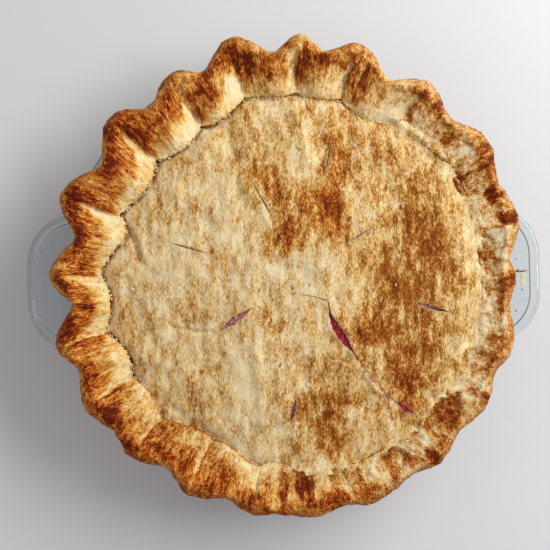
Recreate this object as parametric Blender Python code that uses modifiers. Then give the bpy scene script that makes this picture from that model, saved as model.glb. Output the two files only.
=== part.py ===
"""A strawberry rhubarb pie with a double crust, in its clear oven-glass dish.

Four pieces: the glass dish with its two tab handles, the bottom crust that
rises over the dish's rim into a fluted edge, the fruit filling, and the vented
top crust that lies between the flutes. Lengths are metres and +Z is up. The
origin is the middle of the dish's flat foot, and the handles lie along X.

A place on the pie is given by its bearing, in degrees clockwise from +Y as
seen from above, and its distance from the middle.
"""

import math
import random

import bmesh
import bpy

MM = 0.001

# The dish
DISH_HEIGHT = 45 * MM
RIM_RADIUS = 126 * MM
FOOT_RADIUS = 92 * MM
FLOOR_THICKNESS = 5 * MM
RIM_THICKNESS = 3.6 * MM
INNER_RIM_RADIUS = 117.5 * MM
INNER_FLOOR_RADIUS = 89 * MM
DISH_STEPS = 84

# The handles: a thin web with a thick round bead along its edge
HANDLE_REACH = 147 * MM
HANDLE_HALF_WIDTH = 39.5 * MM
HANDLE_CORNER_RADIUS = 28.5 * MM
BEAD_RADIUS = 3.3 * MM
BEAD_HEIGHT = 41.2 * MM
WEB_THICKNESS = 3.4 * MM
WEB_HEIGHT = 40.9 * MM
WEB_ROOT_RADIUS = 120.2 * MM
BEAD_ROOT_X = 113.5 * MM
CORNER_STEPS = 8
WEB_ROOT_STEPS = 8

# What is left open between pieces that touch
GAP = 0.3 * MM
DISH_GAP = 0.5 * MM

# The crust
SHELL_THICKNESS = 3.5 * MM
LID_THICKNESS = 3.2 * MM
CROWN_HEIGHT = 62 * MM
SEAM_HEIGHT = 52.5 * MM
SEAM_TILT = 1.5 * MM
LIP_HEIGHT = 49 * MM
RIDGE_HEIGHT = 60 * MM
RIDGE_TILT = 2.4 * MM
RIDGE_UNEVEN = 0.9 * MM
CREST_INSET = 9.5 * MM
VALLEY_INSET = 5 * MM
CREST_BREADTH = 0.8
SCALLOP_DEPTH = 5 * MM
WEAK_BEARING = 115
WEAK_SPAN = 50
WEAK_SHARE = 0.6
EDGE_STEPS = 168

# Each flute: the bearing and reach of its outward fold, then those of the
# inward fold that follows it, in degrees and millimetres
FLUTES = (
    (5, 138, 11, 130), (19, 139, 29, 127), (38, 138, 47, 130.5),
    (57, 139.5, 67, 133), (77, 137, 86, 128.5), (91, 131.5, 97, 128.5),
    (109, 135.5, 115, 130.5), (124, 135.5, 132, 131.5), (141, 136.5, 148, 132.5),
    (159, 137, 166, 132.5), (173, 136, 182, 133), (188, 134.5, 196, 128.5),
    (205, 133.5, 213, 125.5), (222, 133, 229, 129), (238, 134, 247, 126.5),
    (254, 134, 264, 120.5), (272, 132.5, 282, 120), (292, 134.5, 303, 121.5),
    (314, 134, 323, 123), (333, 132, 339.5, 125), (349, 139, 358.5, 127.5),
)

# Where the top crust meets the fluted edge: bearing and distance
SEAM = (
    (0, 104), (30, 105), (60, 110), (90, 110.5), (130, 110), (152, 110.5),
    (170, 105), (190, 102), (212, 98), (225, 101.5), (240, 99.5), (265, 104),
    (290, 98), (315, 97.5), (338, 98), (350, 104),
)

# Soft lumps that the fruit raises in the top crust
LUMP_COUNT = 11
LUMP_SEED = 5
LUMP_HEIGHT = 1.3 * MM
LUMP_WIDTH = 19 * MM

# Straight vents: middle x and y, length, heading from +X and width
VENTS = (
    ("vent_top", 26.3, 67.5, 18.7, 77, 1.0),
    ("vent_upper_left", -11.2, 44.2, 26.8, -61.5, 1.2),
    ("vent_left", -52.2, 17.9, 20.7, -16.7, 1.2),
    ("vent_lower_left", -27.5, -22.3, 21.8, 34.5, 2.4),
    ("vent_bottom", 3.8, -73.6, 13.6, 77, 2.4),
    ("vent_right", 81.2, -17.6, 21.8, -15.9, 2.6),
    ("vent_upper_right", 43.0, 23.4, 17.7, 31, 1.0),
)

# The long vent that baked open: x, y and full width along its crooked line
TEAR = (
    (8.8, -8.9, 0.3), (16.6, -10.4, 1.4), (24.2, -13.0, 2.2), (24.7, -21.4, 2.8),
    (28.4, -28.7, 5.2), (34.6, -38.0, 3.4), (40.8, -46.7, 1.8), (47.1, -56.3, 1.2),
    (55.9, -65.3, 1.0), (61.9, -71.5, 2.2), (67.0, -75.0, 2.0), (71.2, -77.3, 0.3),
)

COLLECTION_NAME = "strawberry_rhubarb_pie"
CUTTER_COLLECTION_NAME = "cutters"

GLASS_COLOUR = (0.86, 0.92, 0.92, 1)
CRUST_COLOUR = (0.72, 0.45, 0.19, 1)
LID_COLOUR = (0.78, 0.56, 0.29, 1)
FILLING_COLOUR = (0.42, 0.05, 0.06, 1)


def clear_scene():
    """Empty the scene of what a new file starts with."""
    for thing in list(bpy.data.objects):
        bpy.data.objects.remove(thing, do_unlink=True)


def new_collection(name):
    """Add a collection to the scene."""
    group = bpy.data.collections.new(name)
    bpy.context.scene.collection.children.link(group)
    return group


def new_material(name, colour, roughness, transmission=0.0):
    """Make a Principled material."""
    material = bpy.data.materials.new(name)
    material.use_nodes = True
    shader = material.node_tree.nodes["Principled BSDF"]
    shader.inputs["Base Color"].default_value = colour
    shader.inputs["Roughness"].default_value = roughness
    shader.inputs["Metallic"].default_value = 0.0
    shader.inputs["Transmission Weight"].default_value = transmission
    return material


def link_object(name, mesh, group, material=None):
    """Put a mesh in a collection as an object."""
    thing = bpy.data.objects.new(name, mesh)
    group.objects.link(thing)
    if material is not None:
        mesh.materials.append(material)
    return thing


def add_cutter(thing, cutters):
    """Keep an object as a tool for a Boolean, out of the model itself."""
    for group in list(thing.users_collection):
        group.objects.unlink(thing)
    cutters.objects.link(thing)
    thing.hide_render = True
    thing.display_type = "WIRE"


def add_boolean(target, tool, operation):
    """Join or cut an object with another."""
    modifier = target.modifiers.new(tool.name, "BOOLEAN")
    modifier.operation = operation
    modifier.solver = "EXACT"
    modifier.object = tool


def curve_to_mesh(thing):
    """Turn a curve object into a closed mesh object at the same place."""
    depsgraph = bpy.context.evaluated_depsgraph_get()
    mesh = bpy.data.meshes.new_from_object(thing.evaluated_get(depsgraph))
    work = bmesh.new()
    work.from_mesh(mesh)
    bmesh.ops.remove_doubles(work, verts=work.verts, dist=0.01 * MM)
    bmesh.ops.recalc_face_normals(work, faces=work.faces)
    work.to_mesh(mesh)
    work.free()
    solid = bpy.data.objects.new(thing.name + "_solid", mesh)
    solid.matrix_world = thing.matrix_world.copy()
    bpy.context.scene.collection.objects.link(solid)
    bpy.data.objects.remove(thing, do_unlink=True)
    return solid


# The shape of the pie's edge

def ease(share):
    """Go from 0 to 1 with level ends."""
    return 0.5 - 0.5 * math.cos(math.pi * share)


def between(low, high, share):
    """Mix two values."""
    return low + (high - low) * share


def fold_at(bearing):
    """Return the crust's reach at a bearing, and 1 on an outward fold to 0 on an inward one."""
    knots = []
    for crest, crest_reach, valley, valley_reach in FLUTES:
        knots.append((crest, crest_reach, 1.0))
        knots.append((valley, valley_reach, 0.0))
    bearing = bearing % 360
    if bearing < knots[0][0]:
        bearing += 360
    knots.append((knots[0][0] + 360, knots[0][1], 1.0))
    for start, end in zip(knots, knots[1:]):
        if start[0] <= bearing <= end[0]:
            share = ease((bearing - start[0]) / (end[0] - start[0]))
            outward = between(start[2], end[2], share) ** CREST_BREADTH
            crest, valley = (start, end) if start[2] else (end, start)
            return between(valley[1], crest[1], outward) * MM, outward
    raise ValueError(bearing)


def strength(bearing):
    """Return how deep the flutes are folded: 1 nearly all round, less on the slack side."""
    away = (bearing - WEAK_BEARING + 180) % 360 - 180
    return 1 - WEAK_SHARE * math.exp(-(away / WEAK_SPAN) ** 2)


def uneven(bearing, shift):
    """Return a slow wave between about -1 and 1 that makes the flutes differ."""
    angle = math.radians(bearing)
    return 0.6 * math.sin(3 * angle + shift) + 0.4 * math.sin(7 * angle + 2 * shift)


def plain_seam(bearing):
    """Return the distance of the seam before the flutes bulge over it."""
    bearing = bearing % 360
    knots = SEAM + ((SEAM[0][0] + 360, SEAM[0][1]),)
    for start, end in zip(knots, knots[1:]):
        if start[0] <= bearing <= end[0]:
            share = ease((bearing - start[0]) / (end[0] - start[0]))
            return between(start[1], end[1], share) * MM
    raise ValueError(bearing)


def seam_radius(bearing):
    """Return the distance of the seam, which the inward folds push towards the middle."""
    outward = fold_at(bearing)[1]
    return plain_seam(bearing) - SCALLOP_DEPTH * (1 - outward) * strength(bearing) ** 3


def edge_height(bearing):
    """Return the height of the top crust's edge, highest on the slack side."""
    return SEAM_HEIGHT + SEAM_TILT * math.cos(math.radians(bearing - WEAK_BEARING))


def ridge_at(bearing):
    """Return the distance and height of the top of the fluted edge."""
    reach, outward = fold_at(bearing)
    inset = between(VALLEY_INSET, CREST_INSET, outward)
    height = RIDGE_HEIGHT - RIDGE_TILT * math.cos(math.radians(bearing - WEAK_BEARING))
    height += RIDGE_UNEVEN * uneven(bearing, 1.0) + RIDGE_UNEVEN * (outward - 0.5)
    return reach - inset, height


def lumps():
    """Place the fruit's lumps, the same on each run."""
    draw = random.Random(LUMP_SEED)
    places = []
    for _ in range(LUMP_COUNT):
        angle = draw.uniform(0, 2 * math.pi)
        distance = draw.uniform(10, 82) * MM
        places.append((distance * math.cos(angle), distance * math.sin(angle),
                       draw.uniform(0.6, 1.0) * LUMP_HEIGHT * draw.choice((1, 1, -1))))
    return places


LUMPS = lumps()


def lid_height(bearing, radius):
    """Return the height of the top crust's upper face."""
    share = min(radius / plain_seam(bearing), 1.0)
    edge = edge_height(bearing)
    height = edge + (CROWN_HEIGHT - edge) * (1 - share ** 2.4)
    x = radius * math.sin(math.radians(bearing))
    y = radius * math.cos(math.radians(bearing))
    for lump_x, lump_y, lump_height in LUMPS:
        distance = math.hypot(x - lump_x, y - lump_y) / LUMP_WIDTH
        height += lump_height * math.exp(-distance ** 2) * (1 - share ** 4)
    return height


def seam_height(bearing):
    """Return the height at which the fluted edge meets the top crust."""
    return lid_height(bearing, seam_radius(bearing))


def dish_inside(height):
    """Return the distance of the dish's inner wall at a height."""
    low = FLOOR_THICKNESS + 4 * MM
    high = DISH_HEIGHT - 2.5 * MM
    share = (height - low) / (high - low)
    return between(INNER_FLOOR_RADIUS + 3.5 * MM, INNER_RIM_RADIUS, share)


# Bodies made of rings of points, one ring above another

def ring(count, radius_at, height_at):
    """Return a ring of points whose distance and height depend on the bearing."""
    points = []
    for step in range(count):
        bearing = 360 * step / count
        radius = radius_at(bearing)
        angle = math.radians(bearing)
        points.append((radius * math.sin(angle), radius * math.cos(angle), height_at(bearing)))
    return points


def round_ring(count, radius, height):
    """Return a plain round ring."""
    return ring(count, lambda bearing: radius, lambda bearing: height)


def bridge(work, lower, upper):
    """Fill the band between two rings, of which one may have half the other's points."""
    if len(lower) == 1 or len(upper) == 1:
        tip, rim = (lower[0], upper) if len(lower) == 1 else (upper[0], lower)
        for step, vert in enumerate(rim):
            work.faces.new((tip, vert, rim[(step + 1) % len(rim)]))
        return
    if len(lower) == len(upper):
        for step in range(len(lower)):
            after = (step + 1) % len(lower)
            work.faces.new((lower[step], lower[after], upper[after]))
            work.faces.new((lower[step], upper[after], upper[step]))
        return
    fine, coarse = (lower, upper) if len(lower) > len(upper) else (upper, lower)
    for step in range(len(coarse)):
        after = (step + 1) % len(coarse)
        middle = fine[2 * step + 1]
        work.faces.new((coarse[step], fine[2 * step], middle))
        work.faces.new((coarse[step], middle, coarse[after]))
        work.faces.new((coarse[after], middle, fine[2 * after]))


def ring_body(name, rings, group, material):
    """Make a closed body from rings that start and end in a single point or in each other."""
    work = bmesh.new()
    verts = [[work.verts.new(point) for point in points] for points in rings]
    for lower, upper in zip(verts, verts[1:]):
        bridge(work, lower, upper)
    bmesh.ops.recalc_face_normals(work, faces=work.faces)
    mesh = bpy.data.meshes.new(name)
    work.to_mesh(mesh)
    work.free()
    return link_object(name, mesh, group, material)


# The pieces

def handle_path():
    """Return the middle line of a handle's bead, from root to root."""
    radius = HANDLE_CORNER_RADIUS - BEAD_RADIUS
    centre_x = HANDLE_REACH - HANDLE_CORNER_RADIUS
    centre_y = HANDLE_HALF_WIDTH - HANDLE_CORNER_RADIUS
    path = [(BEAD_ROOT_X, -centre_y - radius)]
    for side, start in ((-1, -90), (1, 0)):
        for step in range(CORNER_STEPS + 1):
            angle = math.radians(start + 90 * step / CORNER_STEPS)
            path.append((centre_x + radius * math.cos(angle),
                         side * centre_y + radius * math.sin(angle)))
    path.append((BEAD_ROOT_X, centre_y + radius))
    return path


def make_bead(name, turn):
    """Make a handle's round bead as a tube."""
    curve = bpy.data.curves.new(name, "CURVE")
    curve.dimensions = "3D"
    curve.bevel_depth = BEAD_RADIUS
    curve.bevel_resolution = 3
    curve.use_fill_caps = True
    path = handle_path()
    spline = curve.splines.new("POLY")
    spline.points.add(len(path) - 1)
    for point, (x, y) in zip(spline.points, path):
        point.co = (x, y, 0, 1)
    bead = bpy.data.objects.new(name, curve)
    bpy.context.scene.collection.objects.link(bead)
    bead.location.z = BEAD_HEIGHT
    bead.rotation_euler.z = turn
    bpy.context.view_layer.update()
    return curve_to_mesh(bead)


def make_web(name, turn):
    """Make the thin plate of a handle, between the dish's wall and the bead."""
    curve = bpy.data.curves.new(name, "CURVE")
    curve.dimensions = "2D"
    curve.fill_mode = "BOTH"
    curve.extrude = WEB_THICKNESS / 2
    outline = handle_path()[1:-1]
    half_angle = math.asin(outline[-1][1] / WEB_ROOT_RADIUS)
    for step in range(WEB_ROOT_STEPS + 1):
        angle = half_angle - 2 * half_angle * step / WEB_ROOT_STEPS
        outline.append((WEB_ROOT_RADIUS * math.cos(angle), WEB_ROOT_RADIUS * math.sin(angle)))
    spline = curve.splines.new("POLY")
    spline.points.add(len(outline) - 1)
    for point, (x, y) in zip(spline.points, outline):
        point.co = (x, y, 0, 1)
    spline.use_cyclic_u = True
    web = bpy.data.objects.new(name, curve)
    bpy.context.scene.collection.objects.link(web)
    web.location.z = WEB_HEIGHT
    web.rotation_euler.z = turn
    bpy.context.view_layer.update()
    return curve_to_mesh(web)


def dish_profile():
    """Return the dish's section, from the middle of its floor over the rim to its foot."""
    wall = DISH_HEIGHT - 2.5 * MM
    profile = [
        (0, FLOOR_THICKNESS),
        (INNER_FLOOR_RADIUS, FLOOR_THICKNESS),
        (INNER_FLOOR_RADIUS + 2.6 * MM, FLOOR_THICKNESS + 1.5 * MM),
        (dish_inside(FLOOR_THICKNESS + 4 * MM), FLOOR_THICKNESS + 4 * MM),
        (INNER_RIM_RADIUS, wall),
        (INNER_RIM_RADIUS + 0.9 * MM, DISH_HEIGHT - 0.7 * MM),
        (INNER_RIM_RADIUS + 2.6 * MM, DISH_HEIGHT),
        (RIM_RADIUS - 1.6 * MM, DISH_HEIGHT),
        (RIM_RADIUS, DISH_HEIGHT - 1.5 * MM),
        (RIM_RADIUS - 0.6 * MM, DISH_HEIGHT - RIM_THICKNESS),
        (RIM_RADIUS - 4.2 * MM, DISH_HEIGHT - RIM_THICKNESS - 1.8 * MM),
        (FOOT_RADIUS + 3.4 * MM, 4 * MM),
        (FOOT_RADIUS + 1.8 * MM, 1.3 * MM),
        (FOOT_RADIUS - 1.0 * MM, 0),
        (0, 0),
    ]
    return profile


def make_dish(parts, cutters):
    """Turn the dish from its section and join the handles to it."""
    mesh = bpy.data.meshes.new("glass_dish")
    profile = dish_profile()
    edges = [(step, step + 1) for step in range(len(profile) - 1)]
    mesh.from_pydata([(radius, 0, height) for radius, height in profile], edges, [])
    glass = new_material("clear_glass", GLASS_COLOUR, 0.05, transmission=1.0)
    dish = link_object("glass_dish", mesh, parts, glass)
    screw = dish.modifiers.new("turned", "SCREW")
    screw.steps = DISH_STEPS
    screw.render_steps = DISH_STEPS
    screw.use_merge_vertices = True
    screw.merge_threshold = 0.05 * MM
    for side, turn in (("right", 0.0), ("left", math.pi)):
        for tool in (make_web(f"web_{side}", turn), make_bead(f"bead_{side}", turn)):
            add_cutter(tool, cutters)
            add_boolean(dish, tool, "UNION")
    return dish


def outer_edge_rings():
    """Return the rings of the fluted edge's outer side, from the dish's rim to the ridge."""
    foot = DISH_HEIGHT + DISH_GAP

    def underside(bearing):
        return max(INNER_RIM_RADIUS + 1.1 * MM, fold_at(bearing)[0] - 3.5 * MM)

    def lip_bottom(bearing):
        return max(underside(bearing) + 0.3 * MM, fold_at(bearing)[0] - 1.2 * MM)

    rings = [
        ring(EDGE_STEPS, underside, lambda bearing: foot),
        ring(EDGE_STEPS, lip_bottom, lambda bearing: foot + 0.9 * MM),
        ring(EDGE_STEPS, lambda bearing: fold_at(bearing)[0], lambda bearing: LIP_HEIGHT),
    ]
    for turn in (30, 58, 90):
        rise = math.sin(math.radians(turn))
        run = math.cos(math.radians(turn))
        rings.append(ring(
            EDGE_STEPS,
            lambda bearing, run=run: between(ridge_at(bearing)[0], fold_at(bearing)[0], run),
            lambda bearing, rise=rise: between(LIP_HEIGHT, ridge_at(bearing)[1], rise)))
    return rings


def inner_face_height(bearing, share):
    """Return the height of the flutes' inner face, share going from 0 at the seam to 1 on top.

    An inward fold bulges like a pillow, and an outward fold is a hollow pocket.
    """
    outward = fold_at(bearing)[1]
    deep = strength(bearing)
    power = between(1 - 0.55 * deep, 1 + 0.8 * deep, outward)
    return between(seam_height(bearing), ridge_at(bearing)[1], share ** power)


def inner_edge_rings():
    """Return the rings of the fluted edge's inner face, from the ridge down to the seam."""
    rings = []
    for share in (0.8, 0.56, 0.33, 0.14, 0.0):
        rings.append(ring(
            EDGE_STEPS,
            lambda bearing, share=share: between(
                seam_radius(bearing), ridge_at(bearing)[0], share),
            lambda bearing, share=share: inner_face_height(bearing, share)))
    return rings


def make_bottom_crust(parts):
    """Loft the bottom crust: its shell in the dish and the fluted edge over the rim."""
    half = EDGE_STEPS // 2
    quarter = EDGE_STEPS // 4
    outer_floor = FLOOR_THICKNESS + DISH_GAP
    inner_floor = outer_floor + SHELL_THICKNESS
    outer_top = DISH_HEIGHT - 2.5 * MM
    inner_top = DISH_HEIGHT - 4.0 * MM
    low = FLOOR_THICKNESS + 5 * MM
    shell = SHELL_THICKNESS + DISH_GAP
    rings = [
        [(0, 0, outer_floor)],
        round_ring(quarter, 0.6 * INNER_FLOOR_RADIUS, outer_floor),
        round_ring(half, INNER_FLOOR_RADIUS - 0.6 * MM, outer_floor),
        round_ring(half, INNER_FLOOR_RADIUS + 1.9 * MM, outer_floor + 1.5 * MM),
        round_ring(half, dish_inside(low) - DISH_GAP - 0.1 * MM, low),
        round_ring(EDGE_STEPS, dish_inside(outer_top) - DISH_GAP - 0.15 * MM, outer_top),
        round_ring(EDGE_STEPS, INNER_RIM_RADIUS + 0.4 * MM, DISH_HEIGHT + DISH_GAP),
    ]
    rings += outer_edge_rings()
    rings += inner_edge_rings()
    rings += [
        ring(EDGE_STEPS, lambda bearing: seam_radius(bearing) + 0.2 * MM,
             lambda bearing: seam_height(bearing) - LID_THICKNESS),
        round_ring(EDGE_STEPS, dish_inside(inner_top) - shell, inner_top),
        round_ring(half, dish_inside(inner_floor + 5 * MM) - shell, inner_floor + 5 * MM),
        round_ring(half, INNER_FLOOR_RADIUS - 3.5 * MM, inner_floor),
        round_ring(quarter, 0.6 * INNER_FLOOR_RADIUS, inner_floor),
        [(0, 0, inner_floor)],
    ]
    crust = new_material("browned_crust", CRUST_COLOUR, 0.7)
    return ring_body("bottom_crust", rings, parts, crust)


def make_filling(parts):
    """Loft the fruit filling, which fills the space between the crusts."""
    half = EDGE_STEPS // 2
    quarter = EDGE_STEPS // 4
    shell = SHELL_THICKNESS + DISH_GAP + GAP + 0.2 * MM
    floor = FLOOR_THICKNESS + DISH_GAP + SHELL_THICKNESS + GAP
    top = DISH_HEIGHT - 4.9 * MM
    below_lid = LID_THICKNESS + GAP + 0.15 * MM
    inside_scallops = SCALLOP_DEPTH + 1.0 * MM
    rings = [
        [(0, 0, floor)],
        round_ring(quarter, INNER_FLOOR_RADIUS - 4.3 * MM, floor),
        round_ring(quarter, dish_inside(floor + 5 * MM) - shell, floor + 5 * MM),
        round_ring(half, dish_inside(top) - shell, top),
    ]
    for share, count in ((1.0, half), (0.84, half), (0.66, half), (0.46, quarter), (0.24, quarter)):
        rings.append(ring(
            count,
            lambda bearing, share=share: share * (plain_seam(bearing) - inside_scallops),
            lambda bearing, share=share: lid_height(
                bearing, share * (plain_seam(bearing) - inside_scallops)) - below_lid))
    rings.append([(0, 0, lid_height(0, 0) - below_lid)])
    fruit = new_material("fruit_filling", FILLING_COLOUR, 0.3)
    return ring_body("filling", rings, parts, fruit)


def lid_radius(bearing, share):
    """Return the distance of a share of the top crust, which is scalloped only near its edge."""
    scallop = plain_seam(bearing) - seam_radius(bearing)
    return share * (plain_seam(bearing) - GAP - 0.1 * MM) - share ** 8 * scallop


def lid_rings(shares_and_counts, drop):
    """Return rings of the top crust at shares of its radius, a distance below its upper face."""
    rings = []
    for share, count in shares_and_counts:
        rings.append(ring(
            count,
            lambda bearing, share=share: lid_radius(bearing, share),
            lambda bearing, share=share: lid_height(bearing, lid_radius(bearing, share)) - drop))
    return rings


def vent_cutter(name, outline, cutters):
    """Make an upright prism with a given outline, which cuts a vent."""
    work = bmesh.new()
    face = work.faces.new([work.verts.new((x, y, 0.8 * SEAM_HEIGHT)) for x, y in outline])
    raised = bmesh.ops.extrude_face_region(work, geom=[face])
    tops = [part for part in raised["geom"] if isinstance(part, bmesh.types.BMVert)]
    bmesh.ops.translate(work, verts=tops, vec=(0, 0, 0.5 * CROWN_HEIGHT))
    bmesh.ops.recalc_face_normals(work, faces=work.faces)
    mesh = bpy.data.meshes.new(name)
    work.to_mesh(mesh)
    work.free()
    cutter = link_object(name, mesh, cutters)
    add_cutter(cutter, cutters)
    return cutter


def lens_outline(x, y, length, heading, width):
    """Return a pointed oval around a straight vent."""
    along = (math.cos(math.radians(heading)), math.sin(math.radians(heading)))
    across = (-along[1], along[0])
    outline = []
    for place, side in ((-0.5, 0), (-0.2, 1), (0.2, 1), (0.5, 0), (0.2, -1), (-0.2, -1)):
        forward = place * length
        sideways = side * width / 2
        outline.append(((x + along[0] * forward + across[0] * sideways) * MM,
                        (y + along[1] * forward + across[1] * sideways) * MM))
    return outline


def tear_outline():
    """Return the outline of the crooked vent: one bank of its line, then the other."""
    banks = ([], [])
    for step, (x, y, width) in enumerate(TEAR):
        before = TEAR[max(step - 1, 0)]
        after = TEAR[min(step + 1, len(TEAR) - 1)]
        run = math.hypot(after[0] - before[0], after[1] - before[1])
        across_x = -(after[1] - before[1]) / run
        across_y = (after[0] - before[0]) / run
        for bank, side in zip(banks, (1, -1)):
            bank.append(((x + side * across_x * width / 2) * MM,
                         (y + side * across_y * width / 2) * MM))
    return banks[0] + banks[1][::-1]


def make_lid(parts, cutters):
    """Loft the top crust and cut its vents."""
    full = EDGE_STEPS
    half = full // 2
    quarter = full // 4
    upper = ((0.12, quarter), (0.26, quarter), (0.4, half), (0.54, half), (0.67, half),
             (0.79, half), (0.9, half), (1.0, full))
    lower = ((1.0, full), (0.9, half), (0.74, half), (0.56, half), (0.36, quarter), (0.18, quarter))
    rings = [[(0, 0, lid_height(0, 0))]]
    rings += lid_rings(upper, 0.0)
    rings += lid_rings(lower, LID_THICKNESS)
    rings.append([(0, 0, lid_height(0, 0) - LID_THICKNESS)])
    crust = new_material("golden_crust", LID_COLOUR, 0.65)
    lid = ring_body("lid_crust", rings, parts, crust)
    for name, x, y, length, heading, width in VENTS:
        cutter = vent_cutter(name, lens_outline(x, y, length, heading, width), cutters)
        add_boolean(lid, cutter, "DIFFERENCE")
    add_boolean(lid, vent_cutter("vent_tear", tear_outline(), cutters), "DIFFERENCE")
    return lid


def main():
    """Build the pie in its dish."""
    clear_scene()
    parts = new_collection(COLLECTION_NAME)
    cutters = new_collection(CUTTER_COLLECTION_NAME)
    make_dish(parts, cutters)
    make_bottom_crust(parts)
    make_filling(parts)
    make_lid(parts, cutters)


main()
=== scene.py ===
"""The looks of a strawberry rhubarb pie in its clear oven-glass dish.

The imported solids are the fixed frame. Each piece here stands for one of them,
with the finish of the real thing: flaky browned pastry, glossy fruit in the
vents and clear glass. Lengths are metres, +Z is up, the origin is the middle of
the dish's foot, and a bearing is in degrees clockwise from +Y, seen from above.
"""

import math
import random

import bpy
import numpy as np
from bpy.props import (FloatProperty, FloatVectorProperty, IntProperty,
                       PointerProperty)
from bpy.types import Operator, Panel, PropertyGroup
from mathutils import Matrix, Vector


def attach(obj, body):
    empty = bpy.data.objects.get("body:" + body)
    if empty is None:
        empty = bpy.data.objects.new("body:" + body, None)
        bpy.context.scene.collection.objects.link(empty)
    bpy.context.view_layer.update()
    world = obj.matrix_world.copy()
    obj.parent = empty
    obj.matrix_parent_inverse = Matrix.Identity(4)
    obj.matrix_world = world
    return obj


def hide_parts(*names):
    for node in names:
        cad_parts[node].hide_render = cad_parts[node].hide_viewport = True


bl_info = {
    "name": "Strawberry rhubarb pie",
    "version": (1, 0, 0),
    "blender": (4, 5, 0),
    "location": "3D View > Sidebar > Pie",
    "description": "Dresses the pie and its glass dish for a picture",
    "category": "Object",
}

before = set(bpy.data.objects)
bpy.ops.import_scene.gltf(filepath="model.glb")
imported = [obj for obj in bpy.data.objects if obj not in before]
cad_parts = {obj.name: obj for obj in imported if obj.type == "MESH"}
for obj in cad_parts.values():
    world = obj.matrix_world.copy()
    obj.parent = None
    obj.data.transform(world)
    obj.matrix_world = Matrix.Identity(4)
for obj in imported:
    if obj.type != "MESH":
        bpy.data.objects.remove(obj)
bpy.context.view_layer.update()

MM = 0.001


# ---------------------------------------------------------------------------
# Sizes that the solids have too
# ---------------------------------------------------------------------------

# The dish
DISH_HEIGHT = 45 * MM
RIM_RADIUS = 126 * MM
FOOT_RADIUS = 92 * MM
FLOOR_THICKNESS = 5 * MM
RIM_THICKNESS = 3.6 * MM
INNER_RIM_RADIUS = 117.5 * MM
INNER_FLOOR_RADIUS = 89 * MM
INNER_CORNER = 4 * MM
HANDLE_REACH = 147 * MM
HANDLE_HALF_WIDTH = 39.5 * MM
HANDLE_CORNER_RADIUS = 28.5 * MM
BEAD_RADIUS = 3.3 * MM
BEAD_HEIGHT = 41.2 * MM
WEB_THICKNESS = 3.4 * MM

# The crust
SHELL_THICKNESS = 3.5 * MM
LID_THICKNESS = 3.2 * MM
CROWN_HEIGHT = 62 * MM
SEAM_HEIGHT = 52.5 * MM
SEAM_TILT = 1.5 * MM
LIP_HEIGHT = 49 * MM
RIDGE_HEIGHT = 60 * MM
RIDGE_TILT = 2.4 * MM
RIDGE_UNEVEN = 0.9 * MM
CREST_INSET = 9.5 * MM
VALLEY_INSET = 5 * MM
CREST_BREADTH = 0.8
WEAK_BEARING = 115
WEAK_SPAN = 50
WEAK_SHARE = 0.6

# Each flute: the bearing and reach of its outward fold, then those of the
# inward fold that follows it, in degrees and millimetres
FLUTES = (
    (5, 138, 11, 130), (19, 139, 29, 127), (38, 138, 47, 130.5),
    (57, 139.5, 67, 133), (77, 137, 86, 128.5), (91, 131.5, 97, 128.5),
    (109, 135.5, 115, 130.5), (124, 135.5, 132, 131.5), (141, 136.5, 148, 132.5),
    (159, 137, 166, 132.5), (173, 136, 182, 133), (188, 134.5, 196, 128.5),
    (205, 133.5, 213, 125.5), (222, 133, 229, 129), (238, 134, 247, 126.5),
    (254, 134, 264, 120.5), (272, 132.5, 282, 120), (292, 134.5, 303, 121.5),
    (314, 134, 323, 123), (333, 132, 339.5, 125), (349, 139, 358.5, 127.5),
)

# Where the top crust meets the fluted edge: bearing and millimetres
SEAM = (
    (0, 104), (30, 105), (60, 110), (90, 110.5), (130, 110), (152, 110.5),
    (170, 105), (190, 102), (212, 98), (225, 101.5), (240, 99.5), (265, 104),
    (290, 98), (315, 97.5), (338, 98), (350, 104),
)

# The pillow of crust from each flute's crest to the next: the seam's distance in
# the crease at the crest, then at the pillow's fullest, and where that is
PILLOWS = (
    (105, 103, 0.5), (106, 100.5, 0.5), (107.5, 106.5, 0.5), (110, 109.5, 0.5),
    (110.5, 110, 0.5), (110.5, 110, 0.5), (110, 109.5, 0.5), (109.5, 108, 0.5),
    (110, 109.5, 0.5), (110.5, 108, 0.5), (108, 103, 0.7), (106, 98.5, 0.75),
    (99, 97, 0.3), (104, 99.5, 0.55), (102, 98.3, 0.5), (104.5, 98.6, 0.6),
    (104, 92.6, 0.7), (99.5, 92.5, 0.6), (98.5, 92.5, 0.5), (98.5, 96, 0.4),
    (104.5, 102.2, 0.6),
)

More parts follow.
